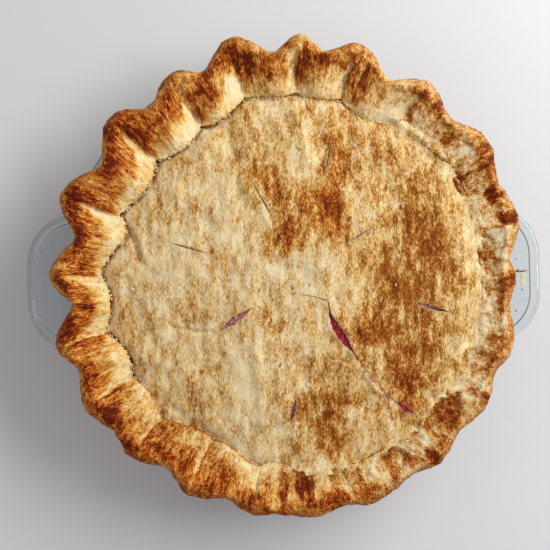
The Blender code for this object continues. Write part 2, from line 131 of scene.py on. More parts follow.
# Blisters and other dark places of the edge: bearing, distance, half breadth,
# half length towards the middle in millimetres, and how much, below 0 where paler
EDGE_SPOTS = (
    (2, 130, 3, 3, 0.25), (6.5, 119, 3, 10, 0.4), (12, 124, 5, 3.5, 0.35),
    (17, 124, 2.5, 3, 0.45), (23.5, 115, 3, 11, 0.4), (38, 127, 3, 3, 0.35),
    (43, 130, 2.5, 4, 0.45), (51, 120, 4, 3, 0.3), (58, 133, 3, 5, 0.35),
    (61.5, 130, 2.2, 7, 0.5), (62, 111, 4.5, 4, 0.4), (70, 126, 4.5, 3.5, 0.6),
    (76, 131, 3, 7, 0.6), (84, 114, 6, 4, 0.35), (91, 126, 3.5, 5, 0.35),
    (99, 121, 6, 3, 0.3), (107, 123, 4, 6, 0.3), (122, 128, 3, 7, 0.5),
    (130, 118, 6, 6, 0.25), (137, 126, 3, 4, 0.35), (141, 130, 3, 5, 0.5),
    (146, 124, 3, 3, 0.45), (151, 119, 3, 5, 0.3), (160, 126, 6, 6, 0.3),
    (169, 127, 7, 5, 0.35), (175, 112, 5, 12, 0.4), (181, 118, 2.5, 12, 0.35),
    (190, 122, 6, 4, 0.35), (197, 115, 5, 6, 0.35), (209, 113, 5, 6, 0.35),
    (216, 118, 5, 4, 0.4), (224, 125, 4, 4, 0.35), (232, 122, 6, 3.5, 0.4),
    (246, 119, 4, 3, 0.4), (256, 124, 3, 6, 0.3), (263, 110, 3, 3.5, 0.5),
    (270, 124, 5, 3, 0.35), (283, 115, 6, 4, 0.35), (292, 125, 4, 4, 0.35),
    (294, 120, 2.5, 8, 0.3), (304, 113, 5, 3, 0.5), (311, 127, 3, 5, 0.3),
    (315, 115, 3.5, 9, 0.45), (325, 112, 5, 4, 0.25), (334, 114, 7, 2.8, 0.5),
    (340, 110, 3, 4, 0.3), (348, 121, 2.5, 5, 0.5), (352, 123, 3, 6, 0.5),
    (357, 112, 2, 2, 0.4), (33, 112, 5, 8, -0.15), (50, 111, 6, 5, -0.12),
    (187.5, 110, 3, 10, -0.2), (225, 108, 6, 9, -0.12), (245, 110, 9, 9, -0.22),
    (285, 102, 10, 6, -0.1), (304, 101, 9, 5, -0.1), (328, 101, 8, 8, -0.14),
    (345, 110, 6, 9, -0.3), (30, 125, 28, 5, -0.08), (60, 126, 13, 5, -0.12),
    (80, 124, 18, 5, -0.14), (150, 124, 36, 6, -0.2), (130, 132, 45, 4, -0.1),
    (62, 112, 14, 5, 0.14), (120, 112, 14, 5, -0.12), (165, 108, 16, 6, 0.26),
    (180, 112, 12, 8, 0.1), (222, 103, 13, 5, 0.18), (192, 131, 28, 4, 0.2),
    (230, 129, 30, 4, 0.12), (262, 126, 16, 4, 0.12), (300, 129, 20, 5, 0.22),
    (322, 132, 28, 6, 0.36), (325, 98, 14, 5, -0.12), (22, 135, 24, 5, 0.22),
    (350, 113, 14, 6, -0.15), (165, 131, 22, 5, -0.1),
)

LUMP_COUNT = 11
LUMP_SEED = 5
LUMP_HEIGHT = 1.3 * MM
LUMP_WIDTH = 19 * MM

# Straight vents: middle x and y, length, heading from +X and width, in
# millimetres and degrees
VENTS = (
    (26.3, 67.5, 18.7, 77, 1), (-11.2, 44.2, 26.8, -61.5, 1.2),
    (-52.2, 17.9, 20.7, -16.7, 1.2), (-27.5, -22.3, 22.5, 34.5, 3.6),
    (3.8, -73.6, 13.6, 77, 3.2), (81.2, -17.6, 21.8, -15.9, 3), (43, 23.4, 17.7, 31, 1),
)

# The long vent that baked open: x, y and full width along its crooked line
TEAR = (
    (8.8, -8.9, 0.1), (16.6, -10.4, 0.3), (24.2, -13.0, 0.4), (25.0, -20.4, 1.2),
    (28.4, -28.0, 5.4), (33.0, -35.0, 4.4), (37.4, -41.3, 1.0), (47.1, -55.3, 0.12),
    (55.9, -65.3, 0.12), (61.9, -71.0, 0.5), (67.0, -74.0, 2.8), (71.2, -77.3, 0.3),
)

# To which side of the long vent the crust is pale
PALE_SIDE = np.array([-1.6, -1.3, 0]) * MM

# Where the top crust browned most, and where it is tanned, or paler below 0: x, y, half
# width and half length in millimetres, heading of the length from +X, and how much
BROWNED_PATCHES = (
    (-5.4, 53, 5.5, 13, 100, 0.34), (25, 48.5, 11, 24, 92, 0.34), (26, 36, 13, 9, 20, 0.36),
    (0.5, 22.5, 8, 9.5, 70, 0.46), (8, 36, 14, 10, 0, 0.24), (-15, 62, 7, 16, 100, 0.2),
    (33, 76, 10, 18, 95, 0.26), (46.5, -28.5, 9.5, 12, 0, 0.42), (66, -60, 9, 20, 98, 0.34),
    (9, -74.5, 9.5, 8.5, 0, 0.28), (25, -84, 14, 10, 0, 0.22), (28, -96, 9, 9, 0, 0.24),
)
TANNED_PATCHES = (
    (-22, 93, 9, 8, 0, 0.12), (17, 97, 9, 5, 0, 0.2), (0, 46, 7, 9, 90, 0.16),
    (56, 66, 16, 11, 0, 0.18), (72, -8, 24, 62, 92, 0.4), (77.5, 32, 12, 24, 95, 0.24),
    (86, 16.5, 5, 11, 95, 0.26), (95, 4, 5, 16, 90, 0.14), (50, 14, 6, 8, 0, 0.16),
    (57.5, -2, 6, 9, 90, 0.26), (80, -48, 7, 10, 90, 0.16), (30, -66, 15, 26, 75, 0.24),
    (0, -60, 6, 12, 90, 0.14), (16, -48, 7, 9, 90, 0.12), (-5, -26, 6, 7.5, 90, 0.2),
    (-48, -14, 8, 10, 0, 0.16), (-92, -24, 5.5, 10, 90, 0.2), (-17, 77, 6.5, 18, 102, 0.04),
    (3, 80, 9, 9, 0, 0.07), (16, 20, 7, 7, 0, 0.08), (72, -62, 5, 9, 100, 0.14),
    (-50, -64, 12, 10, 0, 0.12), (-47, -80, 11, 5, -30, 0.16), (-78, -48, 5, 9, 120, 0.1),
    (-66, 4, 14, 22, 90, -0.12), (-48, -33, 8, 8, 90, -0.12), (-22, -62, 13, 22, 90, -0.16),
    (15, 66, 5, 14, 95, -0.18), (-30, 36, 14, 22, 100, -0.07), (47, 30, 6, 14, 100, -0.12),
    (62, 46, 7, 10, 90, -0.16), (63, 16, 6, 8, 90, -0.12), (14, 2, 16, 12, 0, -0.06),
)

# Soft ridges of the top crust, or grooves where the height is below 0: the two
# ends' x and y, half width and height in millimetres
LID_FOLDS = (
    (64.9, 87.8, 87.3, 68.4, 2.7, 1.9), (91.5, -58.5, 84, -66.5, 2.3, 2),
    (80, -72, 74.1, -83.2, 2.3, 1.7), (-25.2, 63, -8, 30, 2.7, 1.3),
    (-30.8, 85.4, -24.7, 60.7, 3.1, -1.4), (-86.1, 27.5, -79.7, 10.8, 2, -2.2),
    (-95, 4, -84, 9, 2.7, 1.6), (-83, -39, -70, -46, 4.5, 1.4),
    (-63, -26, -40, -30, 1.4, -0.9), (30, -20, 38, -42, 2.7, 1.3),
    (88, 30, 92, 66, 3.6, 1.3), (95, -2, 97, -34, 3.6, 1), (38, 14, 28, -12, 3.1, -1.2),
    (-12, 12, 18, -2, 4.5, -0.9), (-60, 52, -44, 70, 3.6, 1.2),
    (-70, -68, -44, -86, 2.7, -1.3), (-16, -44, -12, -80, 3.6, 1),
    (34, 60, 40, 92, 2.7, -1.2), (10, 92, 14, 66, 3.6, 1.2),
    (-34.3, -28.8, -46.6, -42.7, 0.8, -0.9), (36, -42.6, 54.4, -66.6, 1.6, 0.8),
    (39.4, -40.2, 57.6, -64, 1.6, -0.6),
)

# Thumb-pressed hollows of the slack side: bearing, distance, half breadth, half
# length towards the middle and depth in millimetres
POCKETS = (
    (131.5, 118.5, 14.5, 8, 1.9), (150.5, 119.5, 11, 6.5, 2), (84, 116, 13, 6, 1.1),
    (114.5, 118, 8, 9, 1), (64, 117, 7, 9, 0.8), (48, 120, 8, 5, 0.5), (97, 119, 7, 5, 0.6),
    (166, 118, 6, 9, 0.7),
)

# The depth at which a hollow shows fully, in millimetres
DEEPEST_POCKET = 2.0

# Fruit juice that came through: x, y, radius in millimetres, how much
JUICE_SPOTS = (
    (30.0, -31.0, 4.5, 0.75), (68.0, -74.5, 3.2, 0.9), (57.0, -66.5, 2.2, 0.5),
    (-27.5, -22.3, 4.5, 0.30), (3.8, -73.6, 3.0, 0.55), (81.2, -17.6, 4.5, 0.35),
)

# Juice and egg wash dried on the right handle: x, y, length and breadth in
# millimetres, heading, and how brown
DRIED_SPOTS = (
    (136.6, 1.2, 7.0, 0.8, 4, 1.0), (134.2, 1.8, 2.2, 1.1, 30, 0.9),
    (137.2, -1.4, 5.0, 2.8, 85, 0.15), (137.0, -5.0, 4.4, 2.2, 95, 0.05),
    (136.6, -9.3, 1.1, 0.9, 0, 0.9), (132.8, -21.2, 1.3, 1.0, 0, 0.8),
    (133.6, 8.3, 0.9, 0.7, 0, 0.9), (138.6, -15.4, 0.8, 0.8, 0, 0.7),
)

# Jam that boiled out of the long vent, in the same way
JAM_SPOTS = (
    (66.4, -73.6, 8.6, 2.8, -42, 0), (63.4, -71.2, 3.0, 1.6, -30, 0),
    (53.2, -62.6, 2.2, 0.9, -50, 0), (49.0, -58.0, 1.4, 0.8, -55, 0.3),
    (39.4, -44.6, 3.0, 1.2, -60, 0),
)

# How many flakes and crumbs there are, and their shortest and longest in millimetres
EDGE_FLAKES = 420
LID_FLAKES = 260
FLAKE_LENGTHS = (1.0, 2.8)
SEAM_CRUMBS = 260
CRUMB_SIZES = (0.6, 1.7)

# How far out the top crust's flakes lie, and how far from the vents
LID_FLAKES_REACH = 92 * MM
FLAKES_OFF_VENTS = 4.5 * MM

# The mesh of the two crusts
EDGE_COLUMNS = 1050
SLOPE_ROWS = 24
FACE_ROWS = 40
TUCK_ROWS = 4
FLAT_ROWS = 8
LIP_ROWS = 7
EDGE_ROWS = SLOPE_ROWS + FACE_ROWS + TUCK_ROWS + FLAT_ROWS + LIP_ROWS
LID_CELLS = 288
LID_RINGS_BELOW = (0.9, 0.8, 0.7, 0.6, 0.4, 0.2)

# How many sides the round bodies have, and the rings that divide their floor
TURN_STEPS = 240
FLOOR_RINGS = (30 * MM, 60 * MM)
DISH_WALL_STEPS = 12
CRUST_WALL_STEPS = 28

# How far the top crust reaches past the seam, how much further on the slack side, and
# the share of the edge's inner face that it runs up there
LID_OVERLAP = 2.5 * MM
MERGE_WIDTH = 4.5 * MM
MERGE_SHARE = 0.22

# How fine the grain is over the edge, as a share of that along it: outside, inside,
# and inside on the slack side
OUTER_GRAIN = 0.8
INNER_GRAIN = 0.3
SLACK_GRAIN = 0.6

# How fine it is on the top crust along X, Y and Z: the flakes lie along Y
LID_GRAIN = np.array([1, 0.38, 0.38])

# How far the crust reaches into the glass, so that no air gap shows
PRESS = 0.15 * MM

# How far the edge tucks outwards and down behind the top crust, and the breadth of its lip
TUCK_OUT = 1.6 * MM
TUCK_DOWN = 3.6 * MM
LIP_BREADTH = 3.5 * MM

# The bearings are stretched out along a circle of this size for the edge's streaks
STREAK_RADIUS = 125 * MM

# The edge's raised ridge, its ragged foot and the raised rims of the hollows
RIDGE_LIFT = 0.5 * MM
RAGGED_FOOT = 0.55 * MM
POCKET_RIM = 0.7

# The top crust's lips at the vents, its grooves at the creases and how it drops to the seam
VENT_LIP_HEIGHT = 0.55 * MM
VENT_LIP_WIDTH = 1.6 * MM
CREASE_DEPTH = 1.3 * MM
CREASE_WIDTH = 2.4 * MM
SEAM_GROOVE_DEPTH = 2.0 * MM
SEAM_GROOVE_WIDTH = 3.8 * MM
SEAM_ROUNDING_DEPTH = 1.1 * MM
SEAM_ROUNDING_WIDTH = 8 * MM

# The vents' cutters: the step along their ragged outline, and their height about the seam's
OUTLINE_STEP = 0.8 * MM
CUTTER_BELOW = 8 * MM
CUTTER_HEIGHT = 25 * MM

# How far the fruit rises into the vents, and how wide
FRUIT_RISE = 2.7 * MM
FRUIT_RISE_WIDTH = 3.2 * MM

# How clearly the seam shows, by bearing: on the slack side the top crust runs into
# the edge with none
SEAM_SHOWS = (
    (0, 0.6), (24, 0.6), (38, 0), (174, 0), (188, 0.45), (232, 0.5), (242, 1), (340, 1),
    (360, 0.6),
)

# How much flour is left on the edge, and how much less red it is, by bearing
DUSTY_SIDE = ((20, 0), (45, 1), (150, 1), (172, 0))
DULL_SIDE = ((0, 0.35), (45, 0.55), (130, 0.55), (172, 0.1), (200, 0), (310, 0), (360, 0.35))

# The flutes, by bearing, whose crease overlaps the other way
TURNED_FLUTES = (182, 258)

# How far round from its crest a flute's pale tongue reaches
TONGUE_TURN = 2.1

# Where the tips are palest, and over how many degrees
PALE_TIPS_BEARING = 20
PALE_TIPS_SPAN = 35

# How much the parts of the crust are baked before their flakes and patches, 0 to 1
FOOT_BAKE = 0.10
RIDGE_BAKE = 0.46
TONGUE_BAKE = 0.06
# The tips' bake holds painted shade where the outer wall turns down.
TIP_BAKE_AND_SHADE = 0.54
LID_BAKE = 0.26
SHELL_BAKE = 0.42

# The grain of the finishes: flakes, specks and hues to the millimetre, pulp to the metre
FLAKES_PER_MM = 0.5
SPECKS_PER_MM = 1.45
HUES_PER_MM = 0.24
PULP_PER_METRE = 620.0
BUMP_DEPTH = 0.6 * MM
GLASS_IOR = 1.47

# Where the camera hangs, and what points up in its picture
CAMERA_OVER = (-0.0049, 0.0020)
PICTURE_UP = (0.0209, 0.9998, 0)

# The two soft lights: their place, their width and length, and their colour
WINDOW_PLACE = (0.62, 0.36, 0.62)
WINDOW_SIDES = (0.3, 0.9)
WINDOW_COLOUR = (255, 252, 246)
FILL_PLACE = (-0.7, -0.2, 0.6)
FILL_SIDES = (0.14, 0.9)
FILL_COLOUR = (255, 244, 240)
ROOM_COLOUR = (250, 245, 247)


# ---------------------------------------------------------------------------
# Small sums
# ---------------------------------------------------------------------------

def paint(red, green, blue):
    """Turn a colour as a screen shows it, 0 to 255, into the linear one that Blender mixes."""
    linear = []
    for value in (red, green, blue):
        value /= 255
        linear.append(value / 12.92 if value <= 0.04045 else ((value + 0.055) / 1.055) ** 2.4)
    return (*linear, 1.0)


def ease(share):
    """Go from 0 to 1 with level ends."""
    return 0.5 - 0.5 * np.cos(np.pi * np.clip(share, 0, 1))


def between(low, high, share):
    """Mix two values."""
    return low + (high - low) * share


def hump(distance, width):
    """Return 1 at no distance, falling smoothly to 0."""
    return np.exp(-(distance / width) ** 2)


def soft_noise(points, seed):
    """Return smooth noise from about -1 to 1 at points whose unit is one grain.

    Each kind of grain adds a number of its own to the seed, so that no two are alike.
    """
    draw = np.random.RandomState(seed)
    order = draw.permutation(256)
    slopes = draw.normal(size=(256, 3))
    slopes /= np.linalg.norm(slopes, axis=1, keepdims=True)
    cell = np.floor(points).astype(int)
    part = points - cell
    fade = part ** 3 * (part * (6 * part - 15) + 10)
    total = np.zeros(len(points))
    for corner in np.ndindex(2, 2, 2):
        x, y, z = ((cell + corner) & 255).T
        slope = slopes[order[(order[(order[x] + y) & 255] + z) & 255]]
        weight = np.prod(np.where(corner, fade, 1 - fade), axis=1)
        total += weight * np.sum(slope * (part - corner), axis=1)
    return total * 1.6


def flaky(noise, levels):
    """Break smooth noise into flat flakes with sharp edges."""
    raised = noise * levels
    level = np.floor(raised)
    return (level + ease((raised - level - 0.6) / 0.4)) / levels


def rough_noise(points, seed, layers=3):
    """Add up finer and finer layers of noise."""
    total = np.zeros(len(points))
    for layer in range(layers):
        total += soft_noise(points * 2 ** layer, seed + layer) / 1.8 ** layer
    return total


def degrees_from(middle, bearing):
    """Return how far bearings are from a middle one, -180 to 180."""
    return (bearing - middle + 180) % 360 - 180


def by_bearing(table, bearing):
    """Read values off a table of bearings and values."""
    return np.interp(bearing % 360, *np.array(table).T)


def around(bearing, radius, height=0):
    """Return the places at bearings, distances and heights."""
    angle = np.radians(bearing)
    return np.stack([radius * np.sin(angle), radius * np.cos(angle), height + 0 * radius], axis=1)


def cosine_and_sine(degrees):
    """Return the cosine and sine of an angle."""
    return math.cos(math.radians(degrees)), math.sin(math.radians(degrees))


def stretch_at(bearing, starts):
    """Return in which stretch between ascending bearings others lie, and how far along it."""
    place = np.searchsorted(starts, bearing, side="right") - 1
    return place, (bearing - starts[place]) / (starts[place + 1] - starts[place])


def bearing_of(places):
    """Return the bearings of places."""
    return np.degrees(np.arctan2(places[:, 0], places[:, 1])) % 360


def distance_of(places):
    """Return the distances of places from the middle, in plan."""
    return np.hypot(places[:, 0], places[:, 1])


def in_plan(places):
    """Return places set down at height 0."""
    return places * np.array([1, 1, 0])


# ---------------------------------------------------------------------------
# The form of the pie, as in the solids
# ---------------------------------------------------------------------------

def flute_knots():
    """Return the bearings and reaches of all folds in turn, with one more at either end."""
    knots = []
    for crest, crest_reach, valley, valley_reach in FLUTES:
        knots += [(crest, crest_reach * MM), (valley, valley_reach * MM)]
    last, first = knots[-1], knots[0]
    return np.array([(last[0] - 360, last[1])] + knots + [(first[0] + 360, first[1])])


KNOTS = flute_knots()


def folds(bearing):
    """Return the crust's reach, how far outward it is folded, its turn and its flute.

    The turn goes from -pi to 0 at the flute's crest and on to pi.
    """
    bearing = bearing % 360
    place, gone = stretch_at(bearing, KNOTS[:, 0])
    rising = place % 2 == 0
    turn = np.pi * np.where(rising, gone - 1, gone)
    outward = (0.5 + 0.5 * np.cos(turn)) ** CREST_BREADTH
    crest = np.where(rising, place + 1, place)
    valley = np.where(rising, place, place + 1)
    reach = between(KNOTS[valley, 1], KNOTS[crest, 1], outward)
    return reach, outward, turn, (crest - 1) // 2 % len(FLUTES)


def strength(bearing):
    """Return how deep the flutes are folded, less on the slack side."""
    return 1 - WEAK_SHARE * hump(degrees_from(WEAK_BEARING, bearing), WEAK_SPAN)


def uneven(bearing, shift):
    """Return a slow wave that makes the flutes differ."""
    angle = np.radians(bearing)
    return 0.6 * np.sin(3 * angle + shift) + 0.4 * np.sin(7 * angle + 2 * shift)


def plain_seam(bearing):
    """Return the distance of the seam before the flutes bulge over it."""
    bearing = bearing % 360
    knots = np.array(SEAM + ((SEAM[0][0] + 360, SEAM[0][1]),))
    place, gone = stretch_at(bearing, knots[:, 0])
    return between(knots[place, 1], knots[place + 1, 1], ease(gone)) * MM


def pocket_at(turn):
    """Return 1 in the sharp pocket at an outward fold, falling to 0 at the inward one."""
    return 1 - np.abs(np.sin(turn / 2)) ** 0.9


def pillow_of(bearing):
    """Return the pillow that lies at a bearing and how far along it that is, 0 to 1."""
    crests = np.array([flute[0] for flute in FLUTES] + [FLUTES[0][0] + 360])
    bearing = np.where(bearing % 360 < crests[0], bearing % 360 + 360, bearing % 360)
    return stretch_at(bearing, crests)


def seam_radius(bearing):
    """Return the distance of the seam, with a cusp at each crease and a bulge between."""
    pillow, gone = pillow_of(bearing)
    crease, foot, fullest = np.array(PILLOWS).T
    next_crease = np.roll(crease, -1)
    bulge = between(crease, next_crease, fullest) - foot
    power = np.log(0.5) / np.log(fullest)
    swell = np.sin(np.pi * gone ** power[pillow]) ** 0.8
    return (between(crease[pillow], next_crease[pillow], gone) - bulge[pillow] * swell) * MM


def open_seam(bearing):
    """Return 1 where the seam shows, 0 where the top crust runs into the edge."""
    return by_bearing(SEAM_SHOWS, bearing)


def tilt(bearing):
    """Return 1 on the slack side, -1 opposite."""
    return np.cos(np.radians(bearing - WEAK_BEARING))


def ridge_at(bearing):
    """Return the distance and height of the top of the fluted edge."""
    reach, outward = folds(bearing)[:2]
    inset = between(VALLEY_INSET, CREST_INSET, outward)
    height = RIDGE_HEIGHT - RIDGE_TILT * tilt(bearing)
    height = height + RIDGE_UNEVEN * (uneven(bearing, 1.0) + outward - 0.5)
    return reach - inset, height


def lumps():
    """Place the fruit's lumps, the same on each run."""
    draw = random.Random(LUMP_SEED)
    places = []
    for _ in range(LUMP_COUNT):
        angle = draw.uniform(0, 2 * math.pi)
        distance = draw.uniform(10, 82) * MM
        places.append((distance * math.cos(angle), distance * math.sin(angle),
                       draw.uniform(0.6, 1.0) * LUMP_HEIGHT * draw.choice((1, 1, -1))))
    return places


LUMPS = lumps()


def lid_height(bearing, radius):
    """Return the height of the top crust's upper face."""
    share = np.minimum(radius / plain_seam(bearing), 1.0)
    edge = SEAM_HEIGHT + SEAM_TILT * tilt(bearing)
    height = edge + (CROWN_HEIGHT - edge) * (1 - share ** 2.4)
    places = around(bearing, radius)
    for lump_x, lump_y, lump_height in LUMPS:
        distance = distance_of(places - (lump_x, lump_y, 0))
        height = height + lump_height * hump(distance, LUMP_WIDTH) * (1 - share ** 4)
    return height


def dish_inside(height):
    """Return the distance of the dish's inner wall at a height."""
    low = FLOOR_THICKNESS + INNER_CORNER
    high = DISH_HEIGHT - 2.5 * MM
    return between(INNER_FLOOR_RADIUS + 3.5 * MM, INNER_RIM_RADIUS, (height - low) / (high - low))


# ---------------------------------------------------------------------------
# Work on a mesh, as by hand
# ---------------------------------------------------------------------------

def start_clean():
    """Leave edit mode and select nothing."""
    if bpy.context.mode != "OBJECT":
        bpy.ops.object.mode_set(mode="OBJECT")
    bpy.ops.object.select_all(action="DESELECT")


def pick_only(*pieces):
    """Select these pieces alone and make the first the active one."""
    start_clean()
    for piece in pieces:
        piece.select_set(True)
    bpy.context.view_layer.objects.active = pieces[0]


def start_edit():
    """Enter edit mode on the active piece, to work on its vertices."""
    bpy.ops.object.mode_set(mode="EDIT")
    bpy.ops.mesh.select_mode(type="VERT")


def face_outwards():
    """Make all faces of the closed piece point outwards, and leave edit mode."""
    bpy.ops.mesh.select_all(action="SELECT")
    bpy.ops.mesh.normals_make_consistent(inside=False)
    bpy.ops.object.mode_set(mode="OBJECT")


def name_new(name):
    """Name the piece that was just added, and return it."""
    piece = bpy.context.object
    piece.name = name
    piece.data.name = name
    return piece


def pick(piece, kind, wanted):
    """Select the vertices, edges or faces that a test holds for, from edit mode.

    The test gets a vertex's place, the places of an edge's ends, or a face's normal.
    """
    bpy.ops.mesh.select_mode(type=kind)
    bpy.ops.mesh.select_all(action="DESELECT")
    bpy.ops.object.mode_set(mode="OBJECT")
    verts = piece.data.vertices
    if kind == "VERT":
        for vert in verts:
            vert.select = wanted(vert.co)
        for edge in piece.data.edges:
            edge.select = all(verts[end].select for end in edge.vertices)
    elif kind == "EDGE":
        for edge in piece.data.edges:
            edge.select = wanted(*(verts[end].co for end in edge.vertices))
    else:
        for face in piece.data.polygons:
            face.select = wanted(face.normal)
    bpy.ops.object.mode_set(mode="EDIT")


def extrude_up(rise):
    """Extrude what is selected upwards."""
    bpy.ops.mesh.extrude_region_move(TRANSFORM_OT_translate={"value": (0, 0, rise)})


def grow_ring(rise, spread):
    """Extrude the selected ring upwards and widen it about the middle of the dish."""
    extrude_up(rise)
    bpy.ops.transform.resize(value=(spread, spread, 1), center_override=(0, 0, 0))


def turned_piece(name, section, steps):
    """Make a closed round body, ring by ring, from a section that starts and ends on the axis."""
    start_clean()
    first_radius, first_height = section[1]
    bpy.ops.mesh.primitive_circle_add(vertices=steps, radius=first_radius, fill_type="TRIFAN",
                                      location=(0, 0, first_height))
    piece = name_new(name)
    bpy.ops.object.transform_apply(location=True)
    start_edit()
    pick(piece, "VERT", lambda place: place.xy.length > first_radius / 2)
    for (radius, height), (next_radius, next_height) in zip(section[1:], section[2:-1]):
        grow_ring(next_height - height, next_radius / radius)
    extrude_up(section[-1][1] - section[-2][1])
    bpy.ops.mesh.merge(type="CENTER")
    face_outwards()
    return piece


def places_of(piece):
    """Return the vertices' places as an array."""
    places = np.empty(len(piece.data.vertices) * 3)
    piece.data.vertices.foreach_get("co", places)
    return places.reshape(-1, 3)


def move_to(piece, places):
    """Put the vertices at new places."""
    piece.data.vertices.foreach_set("co", np.ascontiguousarray(places).ravel())
    piece.data.update()


def note(piece, **layers):
    """Keep values or vectors on the piece's vertices, which its material reads."""
    for name, values in layers.items():
        if np.ndim(values) == 0:
            values = np.full(len(piece.data.vertices), values)
        kind, field = ("FLOAT", "value") if np.ndim(values) == 1 else ("FLOAT_VECTOR", "vector")
        layer = piece.data.attributes.new(name, kind, "POINT")
        layer.data.foreach_set(field, np.ascontiguousarray(values, dtype=np.float32).ravel())


def turn_outwards(piece):
    """Make all faces of a closed piece point outwards."""
    pick_only(piece)
    bpy.ops.object.mode_set(mode="EDIT")
    face_outwards()


def apply_modifiers(piece):
    """Apply all the piece's modifiers, in order."""
    bpy.context.view_layer.objects.active = piece
    for modifier in list(piece.modifiers):
        bpy.ops.object.modifier_apply(modifier=modifier.name)


def use_tool(piece, tool, operation):
    """Join the piece with a tool, or cut it, and put the tool away."""
    modifier = piece.modifiers.new(tool.name, "BOOLEAN")
    modifier.operation = operation
    modifier.solver = "EXACT"
    modifier.object = tool
    start_clean()
    apply_modifiers(piece)
    bpy.data.objects.remove(tool, do_unlink=True)


def finish_piece(piece, material, slot, *nodes):
    """Give the piece its finish, attach it to the root body and hide the solids that it stands for.
    """
    piece.data.materials.clear()
    piece.data.materials.append(material)
    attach(piece, "root")
    if nodes:
        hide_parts(*nodes)


# ---------------------------------------------------------------------------
# Finishes
# ---------------------------------------------------------------------------

class Mixer:
    """Adds nodes to a material, one column to the right of the other."""

    def __init__(self, name):
        self.material = bpy.data.materials.new(name)
        self.material.use_nodes = True
        self.tree = self.material.node_tree
        self.column = -1600

    def add(self, kind, settings=(), **inputs):
        """Add a node, set its options and set or link its inputs."""
        node = self.tree.nodes.new(kind)
        node.location = (self.column, 0)
        self.column += 160
        for name, value in dict(settings).items():
            setattr(node, name, value)
        self.fill(node, inputs)
        return node

    def fill(self, node, inputs):
        """Set or link a node's inputs, by their names with _ for a space."""
        for name, value in inputs.items():
            self.feed(node.inputs[name.replace("_", " ")], value)

    def feed(self, socket, value):
        """Set an input, or link it where the value is another node's output."""
        if isinstance(value, bpy.types.NodeSocket):
            self.tree.links.new(value, socket)
        else:
            socket.default_value = value

    def finish(self, **inputs):
        """Set or link the shader's own inputs and return the material."""
        self.fill(self.tree.nodes["Principled BSDF"], inputs)
        return self.material

    def noise(self, where, scale, detail, roughness=0.5, distortion=0.0):
        """Add noise and return how strong it is."""
        return self.add("ShaderNodeTexNoise", Vector=where, Scale=scale, Detail=detail,
                        Roughness=roughness, Distortion=distortion).outputs["Fac"]

    def bumped(self, height, strength):
        """Return normals made rough by a height."""
        return self.add("ShaderNodeBump", Strength=strength, Distance=BUMP_DEPTH,
                        Height=height).outputs["Normal"]

    def sum(self, operation, first, second=0.0, third=0.0):
        """Add a sum and return its result."""
        node = self.add("ShaderNodeMath", {"operation": operation})
        for socket, value in zip(node.inputs, (first, second, third)):
            self.feed(socket, value)
        return node.outputs[0]

    def mix(self, blend, share, first, second):
        """Mix two colours and return the result."""
        node = self.add("ShaderNodeMix", {"data_type": "RGBA", "blend_type": blend})
        for socket, value in zip((node.inputs["Factor"], *node.inputs[6:8]),
                                 (share, first, second)):
            self.feed(socket, value)
        return node.outputs["Result"]

    def ramp(self, value, places, colours):
        """Turn a value into a colour by stops."""
        node = self.add("ShaderNodeValToRGB", Fac=value)
        while len(node.color_ramp.elements) < len(places):
            node.color_ramp.elements.new(0.5)
        for element, place, colour in zip(node.color_ramp.elements, places, colours):
            element.position = place
            element.color = colour
        return node.outputs["Color"]

    def steep(self, noise, middle=0.0):
        """Turn noise into patches with clear borders, from 0.5 below the middle to 0.5 above."""
        return self.add("ShaderNodeMapRange", Value=noise, From_Min=0.36, From_Max=0.64,
                        To_Min=middle - 0.5, To_Max=middle + 0.5).outputs["Result"]

    def noted(self, name, output="Fac"):
        """Read what the piece's vertices note."""
        return self.add("ShaderNodeAttribute", {"attribute_name": name}).outputs[output]


def pastry_finish(name, settings):
    """Make baked pastry, with flakes along its grain.

    It is coloured by how much it is baked, by the edge's redder colours where it glows, floury in
    its pale places, greyed by painted shade beside the top crust's open seam, and stained where
    juice came through.
    """
    mixer = Mixer(name)
    baked = mixer.noted("bake")
    grain = mixer.noted("grain", "Vector")
    flakes = mixer.noise(grain, FLAKES_PER_MM, 3.0, 0.6)
    specks = mixer.noise(grain, SPECKS_PER_MM, 2.0, 0.6)
    hues = mixer.noise(grain, HUES_PER_MM, 4.0, 0.7, 0.4)
    shift = mixer.sum("MULTIPLY_ADD", mixer.steep(specks), settings.speck_contrast,
                      mixer.sum("MULTIPLY", mixer.steep(flakes), settings.flake_contrast))
    reach = mixer.sum("MULTIPLY_ADD", baked, 0.8, 0.64)
    browning = mixer.sum("MULTIPLY_ADD", shift, reach, baked)
    places = (0.0, 0.22, 0.40, 0.58, 0.80, 1.0)
    face = mixer.ramp(browning, places, (
        settings.cream, settings.pale_gold, settings.golden,
        settings.brown, settings.dark_brown, settings.darkest_brown))
    edge = mixer.ramp(browning, places, (
        settings.cream, settings.edge_pale_gold, settings.edge_golden,
        settings.edge_orange, settings.edge_red_brown, settings.dark))
    colour = mixer.mix("MIX", mixer.noted("glow"), face, edge)
    colour = mixer.mix("MULTIPLY", mixer.steep(hues, 0.5), colour, settings.yellow)
    pale = mixer.sum("MULTIPLY_ADD", browning, -2.6, 1.4)
    pale = mixer.add("ShaderNodeClamp", Value=pale).outputs[0]
    # Flour, and the painted shade beside the open seam, cover the paler places.
    floury = mixer.sum("MULTIPLY", mixer.sum("MULTIPLY", mixer.noted("flour"), pale),
                       settings.flour_cover)
    colour = mixer.mix("MIX", floury, colour, settings.flour)
    colour = mixer.mix("MULTIPLY", mixer.noted("juice"), colour, settings.stain)
    height = mixer.sum("MULTIPLY_ADD", flakes, 0.6, specks)
    return mixer.finish(Base_Color=colour, Normal=mixer.bumped(height, settings.bump),
                        Roughness=settings.roughness, Specular_IOR_Level=0.10)


